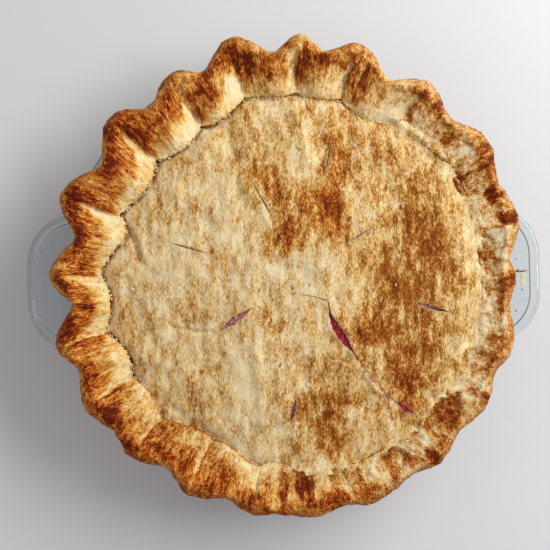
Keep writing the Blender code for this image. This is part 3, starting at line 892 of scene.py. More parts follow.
def fruit_finish(settings):
    """Make cooked fruit in its thickened juice."""
    mixer = Mixer("fruit_filling")
    where = mixer.add("ShaderNodeTexCoord").outputs["Object"]
    pulp = mixer.noise(where, PULP_PER_METRE, 4.0)
    colour = mixer.ramp(pulp, (0.38, 0.54, 0.74),
                        (settings.dark_fruit, settings.fruit, settings.pale_fruit))
    dried = mixer.mix("MIX", mixer.steep(pulp, 0.5), settings.dried_juice,
                      settings.pale_dried_juice)
    colour = mixer.mix("MIX", mixer.noted("dried"), colour, dried)
    return mixer.finish(Base_Color=colour, Normal=mixer.bumped(pulp, 0.5),
                        Roughness=settings.gloss_roughness)


def juice_finish(settings):
    """Make juice and egg wash that dried on the glass."""
    mixer = Mixer("dried_juice")
    colour = mixer.mix("MIX", mixer.noted("dried"), settings.egg_wash, settings.burnt_juice)
    return mixer.finish(Base_Color=colour, Roughness=settings.gloss_roughness)


def glass_finish(settings):
    """Make clear oven glass."""
    return Mixer("clear_glass").finish(Base_Color=settings.tint, Roughness=settings.roughness,
                                       IOR=GLASS_IOR, Transmission_Weight=1.0)


# ---------------------------------------------------------------------------
# What a user would change
# ---------------------------------------------------------------------------

def colour_property(name, description, red, green, blue):
    """Make a colour that the panel shows."""
    return FloatVectorProperty(name=name, description=description, subtype="COLOR", size=4,
                               min=0, max=1, default=paint(red, green, blue))


def share_property(name, description, default, most=1):
    """Make a number from 0 up."""
    return FloatProperty(name=name, description=description, default=default, min=0, max=most)


def height_property(name, description, millimetres, most):
    """Make a height, which is given here in millimetres."""
    return FloatProperty(name=name, description=description, default=millimetres * MM, min=0,
                         max=most * MM, unit="LENGTH")


def power_property(name, description, watts):
    """Make the power of a light."""
    return FloatProperty(name=name, description=description, default=watts, min=0, max=100,
                         unit="POWER")


class DishSettings(PropertyGroup):
    """The glass dish."""
    tint: colour_property("Tint", "Colour of the glass", 234, 242, 244)
    roughness: share_property("Roughness", "How dull the glass is", 0.02)


class PastrySettings(PropertyGroup):
    """The bottom crust, its fluted edge and the top crust."""
    cream: colour_property("Cream", "Pastry that stayed pale", 240, 226, 190)
    pale_gold: colour_property("Pale gold", "Top crust that began to colour", 219, 195, 152)
    golden: colour_property("Golden", "Top crust baked golden", 201, 160, 99)
    brown: colour_property("Brown", "Well baked top crust", 159, 108, 40)
    dark_brown: colour_property("Dark brown", "The top crust's browned patches", 139, 75, 12)
    darkest_brown: colour_property("Darkest brown", "The top crust's darkest places", 108, 46, 6)
    edge_pale_gold: colour_property("Pale gold of the edge", "Edge that began to colour",
                                    230, 196, 128)
    edge_golden: colour_property("Golden of the edge", "Edge baked golden", 212, 157, 82)
    edge_orange: colour_property("Orange of the edge", "Well baked edge", 190, 115, 36)
    edge_red_brown: colour_property("Red brown of the edge", "Browned ridges", 150, 56, 4)
    dark: colour_property("Dark", "The darkest ridges", 86, 24, 3)
    yellow: colour_property("Yellow tint", "Tint of the yellower flakes", 255, 244, 206)
    stain: colour_property("Juice stain", "Pastry that took up juice", 190, 60, 80)
    # This colour is both flour and the painted grey shade beside the top crust's open seam.
    flour: colour_property("Flour", "Floury places of the crust", 206, 198, 172)
    flour_cover: share_property("Flour cover", "How much the flour covers", 0.52)
    roughness: share_property("Roughness", "How dull the pastry is", 0.6)
    flake_contrast: share_property("Flake contrast", "How much the colour changes by flake",
                                   0.22, 2)
    speck_contrast: share_property("Speck contrast", "How much the colour changes in fine specks",
                                   0.42, 2)
    bump: share_property("Bump", "How rough the finest grain is", 0.8)
    crumple: height_property("Crumple", "Height of the flutes' soft dents", 0.7, 3)
    crag: height_property("Crag", "Height of the flutes' sharp flakes", 0.46, 2)
    fold: height_property("Fold", "Height of the step at each flute's crease", 1.9, 4)
    lid_grain: height_property("Lid grain", "Height of the top crust's flakes", 0.28, 1)
    lid_waves: height_property("Lid waves", "Height of the top crust's soft waves", 1.0, 3)
    seed: IntProperty(name="Seed", description="Changes the random grain", default=7, min=0)


class FillingSettings(PropertyGroup):
    """The fruit."""
    fruit: colour_property("Fruit", "Cooked strawberry", 164, 20, 38)
    dark_fruit: colour_property("Dark fruit", "Fruit in its deepest places", 88, 10, 32)
    pale_fruit: colour_property("Pale fruit", "Rhubarb", 206, 92, 88)
    dried_juice: colour_property("Dried juice", "Juice that dried in the vents", 134, 72, 74)
    pale_dried_juice: colour_property("Pale dried juice", "Where that is thin", 196, 140, 128)
    burnt_juice: colour_property("Burnt juice", "Juice that burnt on the handle", 112, 58, 22)
    egg_wash: colour_property("Egg wash", "Egg wash that dried on the handle", 226, 214, 164)
    gloss_roughness: share_property("Roughness", "How dull the juice is", 0.18)


class StageSettings(PropertyGroup):
    """The camera, floor and lights."""
    floor: colour_property("Floor", "Colour of the floor", 214, 217, 222)
    camera_height: FloatProperty(name="Camera height", description="Height of the camera",
                                 default=0.546, min=0.3, max=3, unit="LENGTH")
    lens: FloatProperty(name="Lens", description="Focal length of the camera in millimetres",
                        default=57.4, min=20, max=200)
    key_power: power_property("Window light", "Power of the main light", 9.6)
    fill_power: power_property("Fill light", "Power of the light opposite", 1.2)
    sky: share_property("Room light", "Strength of the even light", 0.36, 5)


# ---------------------------------------------------------------------------
# The glass dish
# ---------------------------------------------------------------------------

def arc(middle, radius, start, end, steps):
    """Return points on an arc of a section, by angles in degrees from outwards."""
    points = []
    for step in range(steps + 1):
        angle = math.radians(start + (end - start) * step / steps)
        points.append((middle[0] + radius * math.cos(angle), middle[1] + radius * math.sin(angle)))
    return points


def dish_section():
    """Return the dish's section from the middle of its foot round its rim to the middle inside."""
    rim_low = DISH_HEIGHT - RIM_THICKNESS
    rim_round = RIM_THICKNESS / 2
    foot_round = 3.4 * MM
    under_rim_round = 2.0 * MM
    inner_rim_round = 2.6 * MM
    section = [(ring, 0) for ring in (0, *FLOOR_RINGS, FOOT_RADIUS - 3.0 * MM)]
    section += arc((FOOT_RADIUS - 1.6 * MM, foot_round), foot_round, -90, -20, 6)
    wall_foot = section[-1]
    wall_top = (RIM_RADIUS - 5.2 * MM, rim_low - 2.6 * MM)
    for step in range(1, DISH_WALL_STEPS + 1):
        share = step / DISH_WALL_STEPS
        section.append((between(wall_foot[0] + 0.6 * MM, wall_top[0], share),
                        between(wall_foot[1] + 1.5 * MM, wall_top[1], share)))
    section += arc((RIM_RADIUS - under_rim_round, rim_low - under_rim_round), under_rim_round,
                   160, 95, 4)
    section += arc((RIM_RADIUS - rim_round, DISH_HEIGHT - rim_round), rim_round, -85, 90, 10)
    section += arc((INNER_RIM_RADIUS + inner_rim_round, DISH_HEIGHT - inner_rim_round),
                   inner_rim_round, 92, 172, 6)
    for step in range(DISH_WALL_STEPS + 1):
        share = step / DISH_WALL_STEPS
        height = between(DISH_HEIGHT - 4 * MM, FLOOR_THICKNESS + 5 * MM, share)
        section.append((dish_inside(height), height))
    corner = dish_inside(FLOOR_THICKNESS + INNER_CORNER)
    section += arc((corner - INNER_CORNER, FLOOR_THICKNESS + INNER_CORNER), INNER_CORNER,
                   -12, -90, 7)
    return section + [(ring, FLOOR_THICKNESS) for ring in (*reversed(FLOOR_RINGS), 0)]


def make_handle(turn):
    """Make a tab handle: a thin web with a thick rounded border, rooted in the dish's rim."""
    start_clean()
    root = 112 * MM
    border = 3.4 * MM
    slope = 2.2 * MM
    level = 0.6 * MM
    rounding = 2.1 * MM
    core_radius = 119.2 * MM
    bpy.ops.mesh.primitive_cube_add(
        size=1, location=((root + HANDLE_REACH) / 2, 0, BEAD_HEIGHT),
        scale=(HANDLE_REACH - root, 2 * HANDLE_HALF_WIDTH, 2 * BEAD_RADIUS))
    handle = name_new("handle")
    bpy.ops.object.transform_apply(location=True, scale=True)
    start_edit()
    pick(handle, "EDGE", is_far_corner)
    bpy.ops.mesh.bevel(offset=HANDLE_CORNER_RADIUS, offset_type="OFFSET", segments=18,
                       affect="EDGES")
    web_drop = BEAD_RADIUS - WEB_THICKNESS / 2
    for side in (1, -1):
        pick(handle, "FACE", lambda normal, side=side: normal.z * side > 0.9)
        bpy.ops.mesh.inset(thickness=border)
        bpy.ops.mesh.inset(thickness=slope, depth=-web_drop)
        bpy.ops.mesh.inset(thickness=level)
    pick(handle, "EDGE", is_level_rim)
    bpy.ops.mesh.bevel(offset=rounding, offset_type="OFFSET", segments=5, affect="EDGES")
    bpy.ops.object.mode_set(mode="OBJECT")
    bpy.ops.mesh.primitive_cylinder_add(vertices=TURN_STEPS, radius=core_radius, depth=30 * MM,
                                        location=(0, 0, BEAD_HEIGHT))
    core = name_new("core")
    bpy.ops.object.transform_apply(location=True)
    use_tool(handle, core, "DIFFERENCE")
    handle.rotation_euler.z = turn
    pick_only(handle)
    bpy.ops.object.transform_apply(rotation=True)
    return handle


def is_far_corner(low, high):
    """Tell whether an edge is one of the two upright ones at a handle's far end."""
    return min(low.x, high.x) > HANDLE_REACH - MM and abs(low.z - high.z) > MM


def is_level_rim(low, high):
    """Tell whether an edge runs along the outer top or bottom of a handle."""
    level = abs(low.z - high.z) < 0.01 * MM
    outer = abs(abs(low.z - BEAD_HEIGHT) - BEAD_RADIUS) < 0.01 * MM
    return level and outer and on_outline(low) and on_outline(high)


def on_outline(place):
    """Tell whether a point lies on a handle's outline."""
    x = place.x - (HANDLE_REACH - HANDLE_CORNER_RADIUS)
    y = abs(place.y) - (HANDLE_HALF_WIDTH - HANDLE_CORNER_RADIUS)
    if x > 0 and y > 0:
        return abs(math.hypot(x, y) - HANDLE_CORNER_RADIUS) < 0.1 * MM
    return max(x, y) > HANDLE_CORNER_RADIUS - 0.1 * MM


class PIE_OT_glass_dish(Operator):
    """Make the clear dish with its two tab handles."""
    bl_idname = "pie.glass_dish"
    bl_label = "Glass dish"

    def execute(self, context):
        dish = turned_piece("clear_dish", dish_section(), TURN_STEPS)
        for turn in (0, math.pi):
            use_tool(dish, make_handle(turn), "UNION")
        pick_only(dish)
        bpy.ops.object.shade_smooth_by_angle(angle=math.radians(35))
        finish_piece(dish, glass_finish(context.scene.pie_dish), "clear_glass", "glass_dish")
        return {"FINISHED"}


# ---------------------------------------------------------------------------
# The bottom crust
# ---------------------------------------------------------------------------

def shell_section():
    """Return the section of the crust in the dish, which reaches just into the glass."""
    outer = [(0, FLOOR_THICKNESS - PRESS)]
    for step in range(1, 13):
        outer.append((step / 12 * (INNER_FLOOR_RADIUS - 1 * MM), FLOOR_THICKNESS - PRESS))
    corner = dish_inside(FLOOR_THICKNESS + INNER_CORNER)
    outer += arc((corner - INNER_CORNER, FLOOR_THICKNESS + INNER_CORNER), INNER_CORNER + PRESS,
                 -84, -12, 7)
    for step in range(1, CRUST_WALL_STEPS + 1):
        share = step / CRUST_WALL_STEPS
        height = between(FLOOR_THICKNESS + 5 * MM, DISH_HEIGHT - 2.5 * MM, share)
        outer.append((dish_inside(height) + PRESS, height))
    outer.append((INNER_RIM_RADIUS + 1.5 * MM, DISH_HEIGHT + 0.5 * MM))
    wall = SHELL_THICKNESS
    inner = [(INNER_RIM_RADIUS - wall, DISH_HEIGHT + 0.5 * MM),
             (dish_inside(FLOOR_THICKNESS + 9 * MM) - wall, FLOOR_THICKNESS + 9 * MM),
             (INNER_FLOOR_RADIUS - wall, FLOOR_THICKNESS + wall),
             (0, FLOOR_THICKNESS + wall)]
    return outer + inner


def bake_of_shell(places, seed):
    """Brown the crust in the dish most on its wall, in soft clouds."""
    height = places[:, 2] / DISH_HEIGHT
    clouds = rough_noise(places / (18 * MM), seed + 31)
    small = rough_noise(places / (4 * MM), seed + 35)
    return SHELL_BAKE + 0.08 * height + 0.16 * clouds + 0.10 * small


class PIE_OT_crust_shell(Operator):
    """Make the bottom crust as it shows through the glass."""
    bl_idname = "pie.crust_shell"
    bl_label = "Bottom crust"

    def execute(self, context):
        settings = context.scene.pie_pastry
        shell = turned_piece("crust_in_dish", shell_section(), TURN_STEPS)
        places = places_of(shell)
        note(shell, bake=bake_of_shell(places, settings.seed), grain=places / MM, glow=1, juice=0)
        bpy.ops.object.shade_smooth()
        finish_piece(shell, pastry_finish("baked_shell", settings), "browned_crust", "bottom_crust")
        return {"FINISHED"}


# ---------------------------------------------------------------------------
# The fluted edge
# ---------------------------------------------------------------------------

def banded_ring(name, columns, rows):
    """Make a closed ring by growing one round loop row by row and bridging the last to the first.

    Returns it with the column and row of each vertex. Columns are counted clockwise from +Y.
    """
    start_clean()
    bpy.ops.mesh.primitive_circle_add(vertices=columns, radius=120 * MM, location=(0, 0, 0))
    piece = name_new(name)
    start_edit()
    bpy.ops.mesh.select_all(action="SELECT")
    for _ in range(rows - 1):
        grow_ring(1 * MM, 1.0)
    pick(piece, "VERT", lambda place: place.z < 0.5 * MM or place.z > (rows - 1.5) * MM)
    bpy.ops.mesh.bridge_edge_loops()
    bpy.ops.object.mode_set(mode="OBJECT")
    places = places_of(piece)
    bearing = bearing_of(places)
    column = np.rint(bearing * columns / 360).astype(int) % columns
    return piece, column, np.rint(places[:, 2] / MM).astype(int)


def inner_face(bearing, share, turn, outward):
    """Return the distance and height of the flutes' inner face, share 0 at the seam, 1 on top."""
    fold = between(pocket_at(turn), outward, share ** 1.5)
    deep = strength(bearing)
    seam = seam_radius(bearing)
    ridge, ridge_height = ridge_at(bearing)
    power = between(1 - 0.6 * deep, 1 + 0.8 * deep, fold)
    power = between(1.35, power, ease(1.5 * open_seam(bearing)))
    low = lid_height(bearing, seam)
    return between(seam, ridge, share), between(low, ridge_height, share ** power)


def edge_rows(bearing):
    """Return the distance, height and share of the edge's rows, from its lip over the top and back.

    The share is 1 at the ridge and 0 at the seam, and from the lip up it goes from -1 to 1.
    """
    reach, outward, turn = folds(bearing)[:3]
    ridge, ridge_height = ridge_at(bearing)
    rows = []
    for row in range(SLOPE_ROWS):
        angle = 0.5 * np.pi * row / SLOPE_ROWS
        rows.append((between(ridge, reach, np.cos(angle)),
                     between(LIP_HEIGHT, ridge_height, np.sin(angle)),
                     between(-1, 1, row / SLOPE_ROWS)))
    for row in range(FACE_ROWS):
        share = (1 - row / (FACE_ROWS - 1)) ** 1.35
        rows.append((*inner_face(bearing, share, turn, outward), share))
    seam, low = rows[-1][:2]
    for row in range(1, TUCK_ROWS + 1):
        share = row / TUCK_ROWS
        rows.append((seam + TUCK_OUT * share ** 2, low - TUCK_DOWN * share, -0.2 * share))
    inner, inner_height = rows[-1][:2]
    bottom = DISH_HEIGHT - PRESS
    under = np.maximum(INNER_RIM_RADIUS + 1.1 * MM, reach - LIP_BREADTH)
    for row in range(1, FLAT_ROWS + 1):
        share = row / FLAT_ROWS
        rows.append((between(inner, under, share), between(inner_height, bottom, share), -0.6))
    for row in range(1, LIP_ROWS + 1):
        angle = 0.5 * np.pi * row / (LIP_ROWS + 1)
        rows.append((between(under, reach, np.sin(angle)),
                     between(bottom, LIP_HEIGHT, 1 - np.cos(angle)), -0.8))
    return rows


def surface_normals(places):
    """Return outward normals of a closed grid of points, columns first."""
    along = np.roll(places, -1, axis=0) - np.roll(places, 1, axis=0)
    down = np.roll(places, -1, axis=1) - np.roll(places, 1, axis=1)
    normals = np.cross(down, along)
    return normals / np.maximum(np.linalg.norm(normals, axis=2, keepdims=True), 1e-12)


class EdgeGrid:
    """The fluted edge as a grid of columns and rows, before its relief."""

    def __init__(self):
        self.shape = (EDGE_COLUMNS, EDGE_ROWS)
        self.bearing = np.arange(EDGE_COLUMNS) * 360 / EDGE_COLUMNS
        sine, cosine = np.sin(np.radians(self.bearing)), np.cos(np.radians(self.bearing))
        self.places = np.empty((*self.shape, 3))
        self.share = np.empty(self.shape)
        for row, (radius, height, share) in enumerate(edge_rows(self.bearing)):
            self.places[:, row, 0] = radius * sine
            self.places[:, row, 1] = radius * cosine
            self.places[:, row, 2] = height
            self.share[:, row] = share
        steps = np.diff(self.places, axis=1, prepend=self.places[:, :1])
        steps = np.linalg.norm(steps, axis=2)
        ring = np.stack([sine, cosine], axis=1)[:, None, :] * STREAK_RADIUS
        ring = np.broadcast_to(ring, (*self.shape, 2))
        self.along = np.dstack([ring, np.cumsum(steps, axis=1)])
        past_ridge = np.arange(EDGE_ROWS) - SLOPE_ROWS
        inner_grain = between(SLACK_GRAIN, INNER_GRAIN, open_seam(self.bearing))[:, None]
        stretch = between(OUTER_GRAIN, inner_grain, ease(0.5 + past_ridge / 12))
        self.grain = np.dstack([ring, np.cumsum(steps * stretch, axis=1)])
        self.turn, self.flute = folds(self.bearing)[2:]
        row = np.arange(EDGE_ROWS)
        self.slope = (row < SLOPE_ROWS)[None, :]
        self.face = ((row >= SLOPE_ROWS) & (row < SLOPE_ROWS + FACE_ROWS))[None, :]
        self.deep = strength(self.bearing)[:, None]
        self.merged = 1 - open_seam(self.bearing)[:, None]
        from_ridge = np.where(self.slope, 0.5 - self.share / 2, 1 - self.share)
        self.ridge = hump(from_ridge, 0.15) * (self.slope | self.face)

    def noise(self, size, seed, layers=1):
        """Return rough noise of a grain size in metres over the grid."""
        points = self.places.reshape(-1, 3) / size
        return rough_noise(points, seed, layers).reshape(self.shape)

    def streaks(self, across, along, seed):
        """Return noise stretched over the edge, by its sizes round the pie and over it."""
        points = self.along.reshape(-1, 3) / np.array([across, across, along])
        return soft_noise(points, seed).reshape(self.shape)


def overlap_of(grid, settings):
    """Return how each flute's crease overlaps.

    That is where it lies on top and where below, its pleats, the pale tongue beside it
    and the browner streaks on its other side.
    """
    draw = np.random.RandomState(settings.seed + 1)
    weight = draw.uniform(0.8, 1.1, len(FLUTES))
    crests = np.array(FLUTES)[:, 0]
    sign = np.where((crests > TURNED_FLUTES[0]) & (crests < TURNED_FLUTES[1]), -1, 1)[grid.flute]
    wander = 0.22 * grid.streaks(40 * MM, 9 * MM, settings.seed + 2)
    turn = grid.turn[:, None] + wander
    signed = turn * sign[:, None]
    strong = weight[grid.flute][:, None] * np.clip(1.3 * grid.deep - 0.3, 0, 1)
    within = ease(grid.share * 4) * ease((1.12 - grid.share) * 3) * grid.face * strong
    high = np.where(signed > 0, np.exp(-signed / 0.75), 0) * ease((signed + 0.06) / 0.12)
    low = np.where(signed < 0, np.exp(signed / 0.5), 0)
    pleats = np.sin(13 * signed + 2.5 * grid.streaks(9 * MM, 12 * MM, settings.seed + 27))
    pleats = pleats * ease(signed / 0.3) * np.sqrt(high) * within
    reach = 0.92 * (1 + signed / TONGUE_TURN)
    reach = reach + 0.1 * grid.streaks(2.4 * MM, 8 * MM, settings.seed + 28)
    tongue = ease((reach - grid.share) / 0.2 + 0.5) * (signed < 0) * np.minimum(strong, 1)
    streaked = np.where(signed > 0, np.exp(-signed / 1.2), 0) * strong
    return high * within, low * within, pleats, tongue * grid.face, streaked


def edge_relief(grid, overlap, settings):
    """Return how far the edge's folds and flakes stand out of its plain form."""
    seed = settings.seed
    high, low, pleats = overlap[:3]
    small = grid.noise(3.4 * MM, seed + 3, 3)
    scales = flaky(grid.noise(4.2 * MM, seed + 6, 2), 3)
    rays = grid.streaks(1.5 * MM, 9 * MM, seed + 8)
    layers = flaky(grid.streaks(7 * MM, 1.8 * MM, seed + 12), 2.5)
    relief = settings.crumple * grid.noise(9 * MM, seed)
    relief += settings.crag * (0.35 + 0.9 * grid.ridge) * small
    relief += settings.crag * (0.8 + 0.6 * grid.ridge) * scales
    relief += settings.crag * 0.7 * rays * grid.face * (1 - 0.4 * grid.ridge)
    relief += settings.crag * 0.7 * layers
    relief += settings.fold * (1.0 * high - 0.7 * low + 0.16 * pleats)
    relief += RIDGE_LIFT * grid.ridge
    foot = hump(grid.share, 0.16) * grid.face
    ragged = grid.noise(3.2 * MM, seed + 16, 2) + 0.6 * grid.noise(1.3 * MM, seed + 18)
    relief += RAGGED_FOOT * foot * ragged * (1 - grid.merged)
    flat = in_plan(grid.places.reshape(-1, 3))
    depth, _, rim = pockets(flat, settings.seed)
    relief += MM * (POCKET_RIM * rim - depth).reshape(grid.shape) * grid.face
    plain = lid_relief(flat, settings)
    blend = grid.merged * ease(1.6 - 3 * grid.share) * grid.face
    relief = between(relief, plain.reshape(grid.shape), blend)
    before = np.maximum(1 - grid.share / MERGE_SHARE, 0)
    relief -= MM * grid.merged * before ** 2 * grid.face
    return relief * np.where(grid.slope | grid.face, 1.0, 0.15), small, scales, rays


def edge_spots(grid, settings):
    """Return how much darker the edge's blisters are."""
    wobble = 2.2 * MM * grid.noise(5 * MM, settings.seed + 24, 3)
    amount_there = np.zeros(grid.shape)
    radius = np.hypot(grid.places[..., 0], grid.places[..., 1])
    for bearing, distance, half_breadth, half_length, amount in EDGE_SPOTS:
        across = np.radians(degrees_from(bearing, grid.bearing))[:, None] * radius
        inward = radius - distance * MM
        away = np.hypot((across + wobble) / half_breadth, (inward + wobble) / half_length) / MM
        amount_there += amount * ease(1.5 - 0.9 * away)
    torn = np.clip(1 + 0.9 * grid.streaks(2.2 * MM, 7 * MM, settings.seed + 26), 0.2, 1.6)
    return amount_there * torn * (grid.slope | grid.face)


def edge_bake(grid, overlap, relief_parts, settings):
    """Return how much each place of the edge is baked."""
    seed = settings.seed
    high, low, pleats, tongue, streaked = overlap
    small, scales, rays = relief_parts
    draw = np.random.RandomState(seed + 4)
    heat = draw.uniform(0.01, 0.14, len(FLUTES))[grid.flute][:, None]
    clouds = grid.noise(15 * MM, seed + 20)
    rays_wide = flaky(grid.streaks(2.6 * MM, 14 * MM, seed + 21), 3) * (1 - 0.5 * grid.merged)
    rising = ease((grid.share - 0.11 + 0.25 * streaked) / (0.48 - 0.15 * streaked))
    face = FOOT_BAKE + (RIDGE_BAKE - 0.26 * grid.merged) * rising
    face = face + (0.14 + 0.30 * high) * (rays_wide + 0.3) + 0.20 * high - 0.2 * low
    lines = flaky(grid.streaks(1.7 * MM, 11 * MM, seed + 29), 2)
    streaky = 1 - 0.7 * grid.merged
    face = face + streaky * (0.10 * rays + 0.14 * lines * rising) + 0.13 * pleats
    face = face + (1 - streaky) * 0.30 * flaky(grid.noise(6 * MM, seed + 36, 3), 3)
    face = between(face, TONGUE_BAKE + 0.1 * rays_wide, 0.85 * tongue)
    # Browner right at each crease on its low side: painted shade of the deep fold.
    face = face + 1.4 * np.maximum(low - 0.75, 0)
    # The hollows are browner, with painted shade along their inner border, and their rims are
    # paler.
    _, browner, rim = pockets(in_plan(grid.places.reshape(-1, 3)), seed)
    face = face + (browner - 0.24 * rim).reshape(grid.shape)
    lid_like = bake_of_lid(grid.places.reshape(-1, 3), 0.8, settings).reshape(grid.shape)
    slack = grid.merged * (1 - ease(grid.share * 1.5)) * grid.face
    face = between(face, lid_like, slack)
    on_ridge = face[:, SLOPE_ROWS][:, None]
    pale = hump(degrees_from(PALE_TIPS_BEARING, grid.bearing), PALE_TIPS_SPAN)[:, None]
    # The outer slope and lip take the tips' colour: browned crust with painted shade where the wall
    # turns down.
    tip_bake_and_shade = TIP_BAKE_AND_SHADE - 0.16 * pale + 0.12 * rays_wide
    outside = between(on_ridge, tip_bake_and_shade, ease((1 - grid.share) * 1.2))
    bake = np.where(grid.face, face, outside)
    bake = bake + grid.ridge * (0.17 + 0.30 * clouds) + heat + 0.14 * clouds
    spots = (0.62 + 0.35 * grid.merged) * edge_spots(grid, settings)
    return bake + spots + 0.12 * small + 0.12 * scales


class PIE_OT_fluted_edge(Operator):
    """Make the crust's fluted edge over the dish's rim."""
    bl_idname = "pie.fluted_edge"
    bl_label = "Fluted edge"

    def execute(self, context):
        settings = context.scene.pie_pastry
        edge, column, row = banded_ring("fluted_edge", EDGE_COLUMNS, EDGE_ROWS)
        grid = EdgeGrid()
        overlap = overlap_of(grid, settings)
        relief, *parts = edge_relief(grid, overlap, settings)
        bake = edge_bake(grid, overlap, parts, settings)
        places = grid.places + surface_normals(grid.places) * relief[..., None]
        move_to(edge, places[column, row])
        note(edge, bake=bake[column, row], grain=grid.grain[column, row] / MM,
             glow=self.glow(grid)[column, row])
        slack_side = np.clip(0.5 + 0.8 * tilt(grid.bearing), 0, 1)[:, None]
        caramel = np.clip(2 * edge_spots(grid, settings) - 0.5, 0, 0.4) * slack_side
        dusty = by_bearing(DUSTY_SIDE, grid.bearing)[:, None]
        dusty = dusty * (0.8 + 0.5 * grid.noise(12 * MM, settings.seed + 34))
        note(edge, juice=caramel[column, row], flour=np.clip(dusty, 0, 1)[column, row])
        turn_outwards(edge)
        bpy.ops.object.shade_smooth()
        finish_piece(edge, pastry_finish("baked_edge", settings), "browned_crust", "bottom_crust")
        return {"FINISHED"}

    def glow(self, grid):
        """Return where the edge has its redder colours: not where the top crust runs into it."""
        glow = 1 - grid.merged * (1 - ease(1.4 * grid.share - 0.2)) * grid.face
        return glow * (1 - by_bearing(DULL_SIDE, grid.bearing)[:, None])


# ---------------------------------------------------------------------------
# The top crust
# ---------------------------------------------------------------------------

def vent_lines():
    """Return each vent as its middle line with widths, in metres."""
    lines = []
    for x, y, length, heading, width in VENTS:
        line = []
        cosine, sine = cosine_and_sine(heading)
        for step in range(9):
            along = (step / 8 - 0.5) * length
            opening = width * max(math.sin(math.pi * step / 8), 0.08)
            line.append(((x + along * cosine) * MM, (y + along * sine) * MM, opening * MM))
        lines.append(line)
    lines.append([(x * MM, y * MM, width * MM) for x, y, width in TEAR])
    return lines


def distance_to_line(places, line):
    """Return the distance of places from a line of points, in plan, and its width there."""
    nearest = np.full(len(places), 1.0)
    width = np.zeros(len(places))
    for (x, y, start_width), (next_x, next_y, end_width) in zip(line, line[1:]):
        run = np.array([next_x - x, next_y - y])
        off = places[:, :2] - (x, y)
        share = np.clip(off @ run / (run @ run), 0, 1)
        distance = np.linalg.norm(off - share[:, None] * run, axis=1)
        closer = distance < nearest
        nearest = np.where(closer, distance, nearest)
        width = np.where(closer, between(start_width, end_width, share), width)
    return nearest, width


def vent_cutter(line, number, settings):
    """Make an upright cutter with the ragged outline of a vent."""
    draw = random.Random(settings.seed + number)
    knots = np.array(line)
    lengths = np.linalg.norm(np.diff(knots[:, :2], axis=0), axis=1)
    along = np.concatenate([[0], np.cumsum(lengths)])
    stations = np.linspace(0, along[-1], max(int(along[-1] / OUTLINE_STEP), 8))
    x, y, width = (np.interp(stations, along, knots[:, axis]) for axis in range(3))
    run = np.stack([np.gradient(x), np.gradient(y)])
    run /= np.linalg.norm(run, axis=0)
    banks = ([], [])
    for bank, sign in zip(banks, (1, -1)):
        for step, opening in enumerate(width):
            half = sign * opening / 2 * draw.uniform(0.75, 1.2)
            if opening > 1 * MM:
                half += sign * draw.uniform(-0.35, 0.35) * MM
            bank.append((x[step] - run[1, step] * half, y[step] + run[0, step] * half))
    outline = banks[0] + banks[1][::-1]
    start_clean()
    bpy.ops.mesh.primitive_circle_add(vertices=len(outline), radius=5 * MM, fill_type="NGON")
    cutter = name_new(f"vent_cutter_{number}")
    for vert, (x, y) in zip(cutter.data.vertices, outline):
        vert.co = (x, y, SEAM_HEIGHT - CUTTER_BELOW)
    bpy.ops.object.mode_set(mode="EDIT")
    bpy.ops.mesh.select_all(action="SELECT")
    extrude_up(CUTTER_HEIGHT)
    face_outwards()
    note(cutter, bake=0.45, juice=0.6, glow=0.5, grain=places_of(cutter) / MM)
    return cutter


def disc_from_square(places):
    """Spread a square grid of side 2 over a round disc of radius 1."""
    x, y = places[:, 0], places[:, 1]
    return np.stack([x * np.sqrt(1 - y ** 2 / 2), y * np.sqrt(1 - x ** 2 / 2)], axis=1)


def lid_flakes(plan, seed):
    """Return the top crust's flakes, which lie along Y, from about -1 to 1."""
    long_flakes = soft_noise(plan / np.array([2.3, 6.5, 6]) / MM, seed + 40)
    short_flakes = rough_noise(plan / np.array([2.0, 3.2, 3]) / MM, seed + 44, 2)
    return 0.6 * flaky(long_flakes, 2.5) + 0.5 * short_flakes


def pushed_aside(plan, size, seed):
    """Return how far noise of a grain size pushes places aside, from about -1 to 1."""
    return np.stack([soft_noise(plan / size, seed), soft_noise(plan / size, seed + 1)], axis=1)


def lid_folds(plan, settings):
    """Return the top crust's soft ridges and grooves, also those that run in from the creases."""
    places = plan[:, :2] + 1.8 * MM * pushed_aside(plan, 9 * MM, settings.seed + 50)
    relief = np.zeros(len(plan))
    for x, y, end_x, end_y, half_width, height in LID_FOLDS:
        line = [(x * MM, y * MM, 1), (end_x * MM, end_y * MM, 1)]
        relief += height * MM * hump(distance_to_line(places, line)[0], half_width * MM)
    for (crest, *_), (crease, *_) in zip(FLUTES, PILLOWS):
        depth = CREASE_DEPTH * open_seam(crest)
        cosine, sine = cosine_and_sine(crest)
        line = [(distance * MM * sine, distance * MM * cosine, fading)
                for distance, fading in ((crease + 1, 1), (crease - 13, 0))]
        distance, fading = distance_to_line(places, line)
        relief -= depth * fading * hump(distance, CREASE_WIDTH)
    return relief


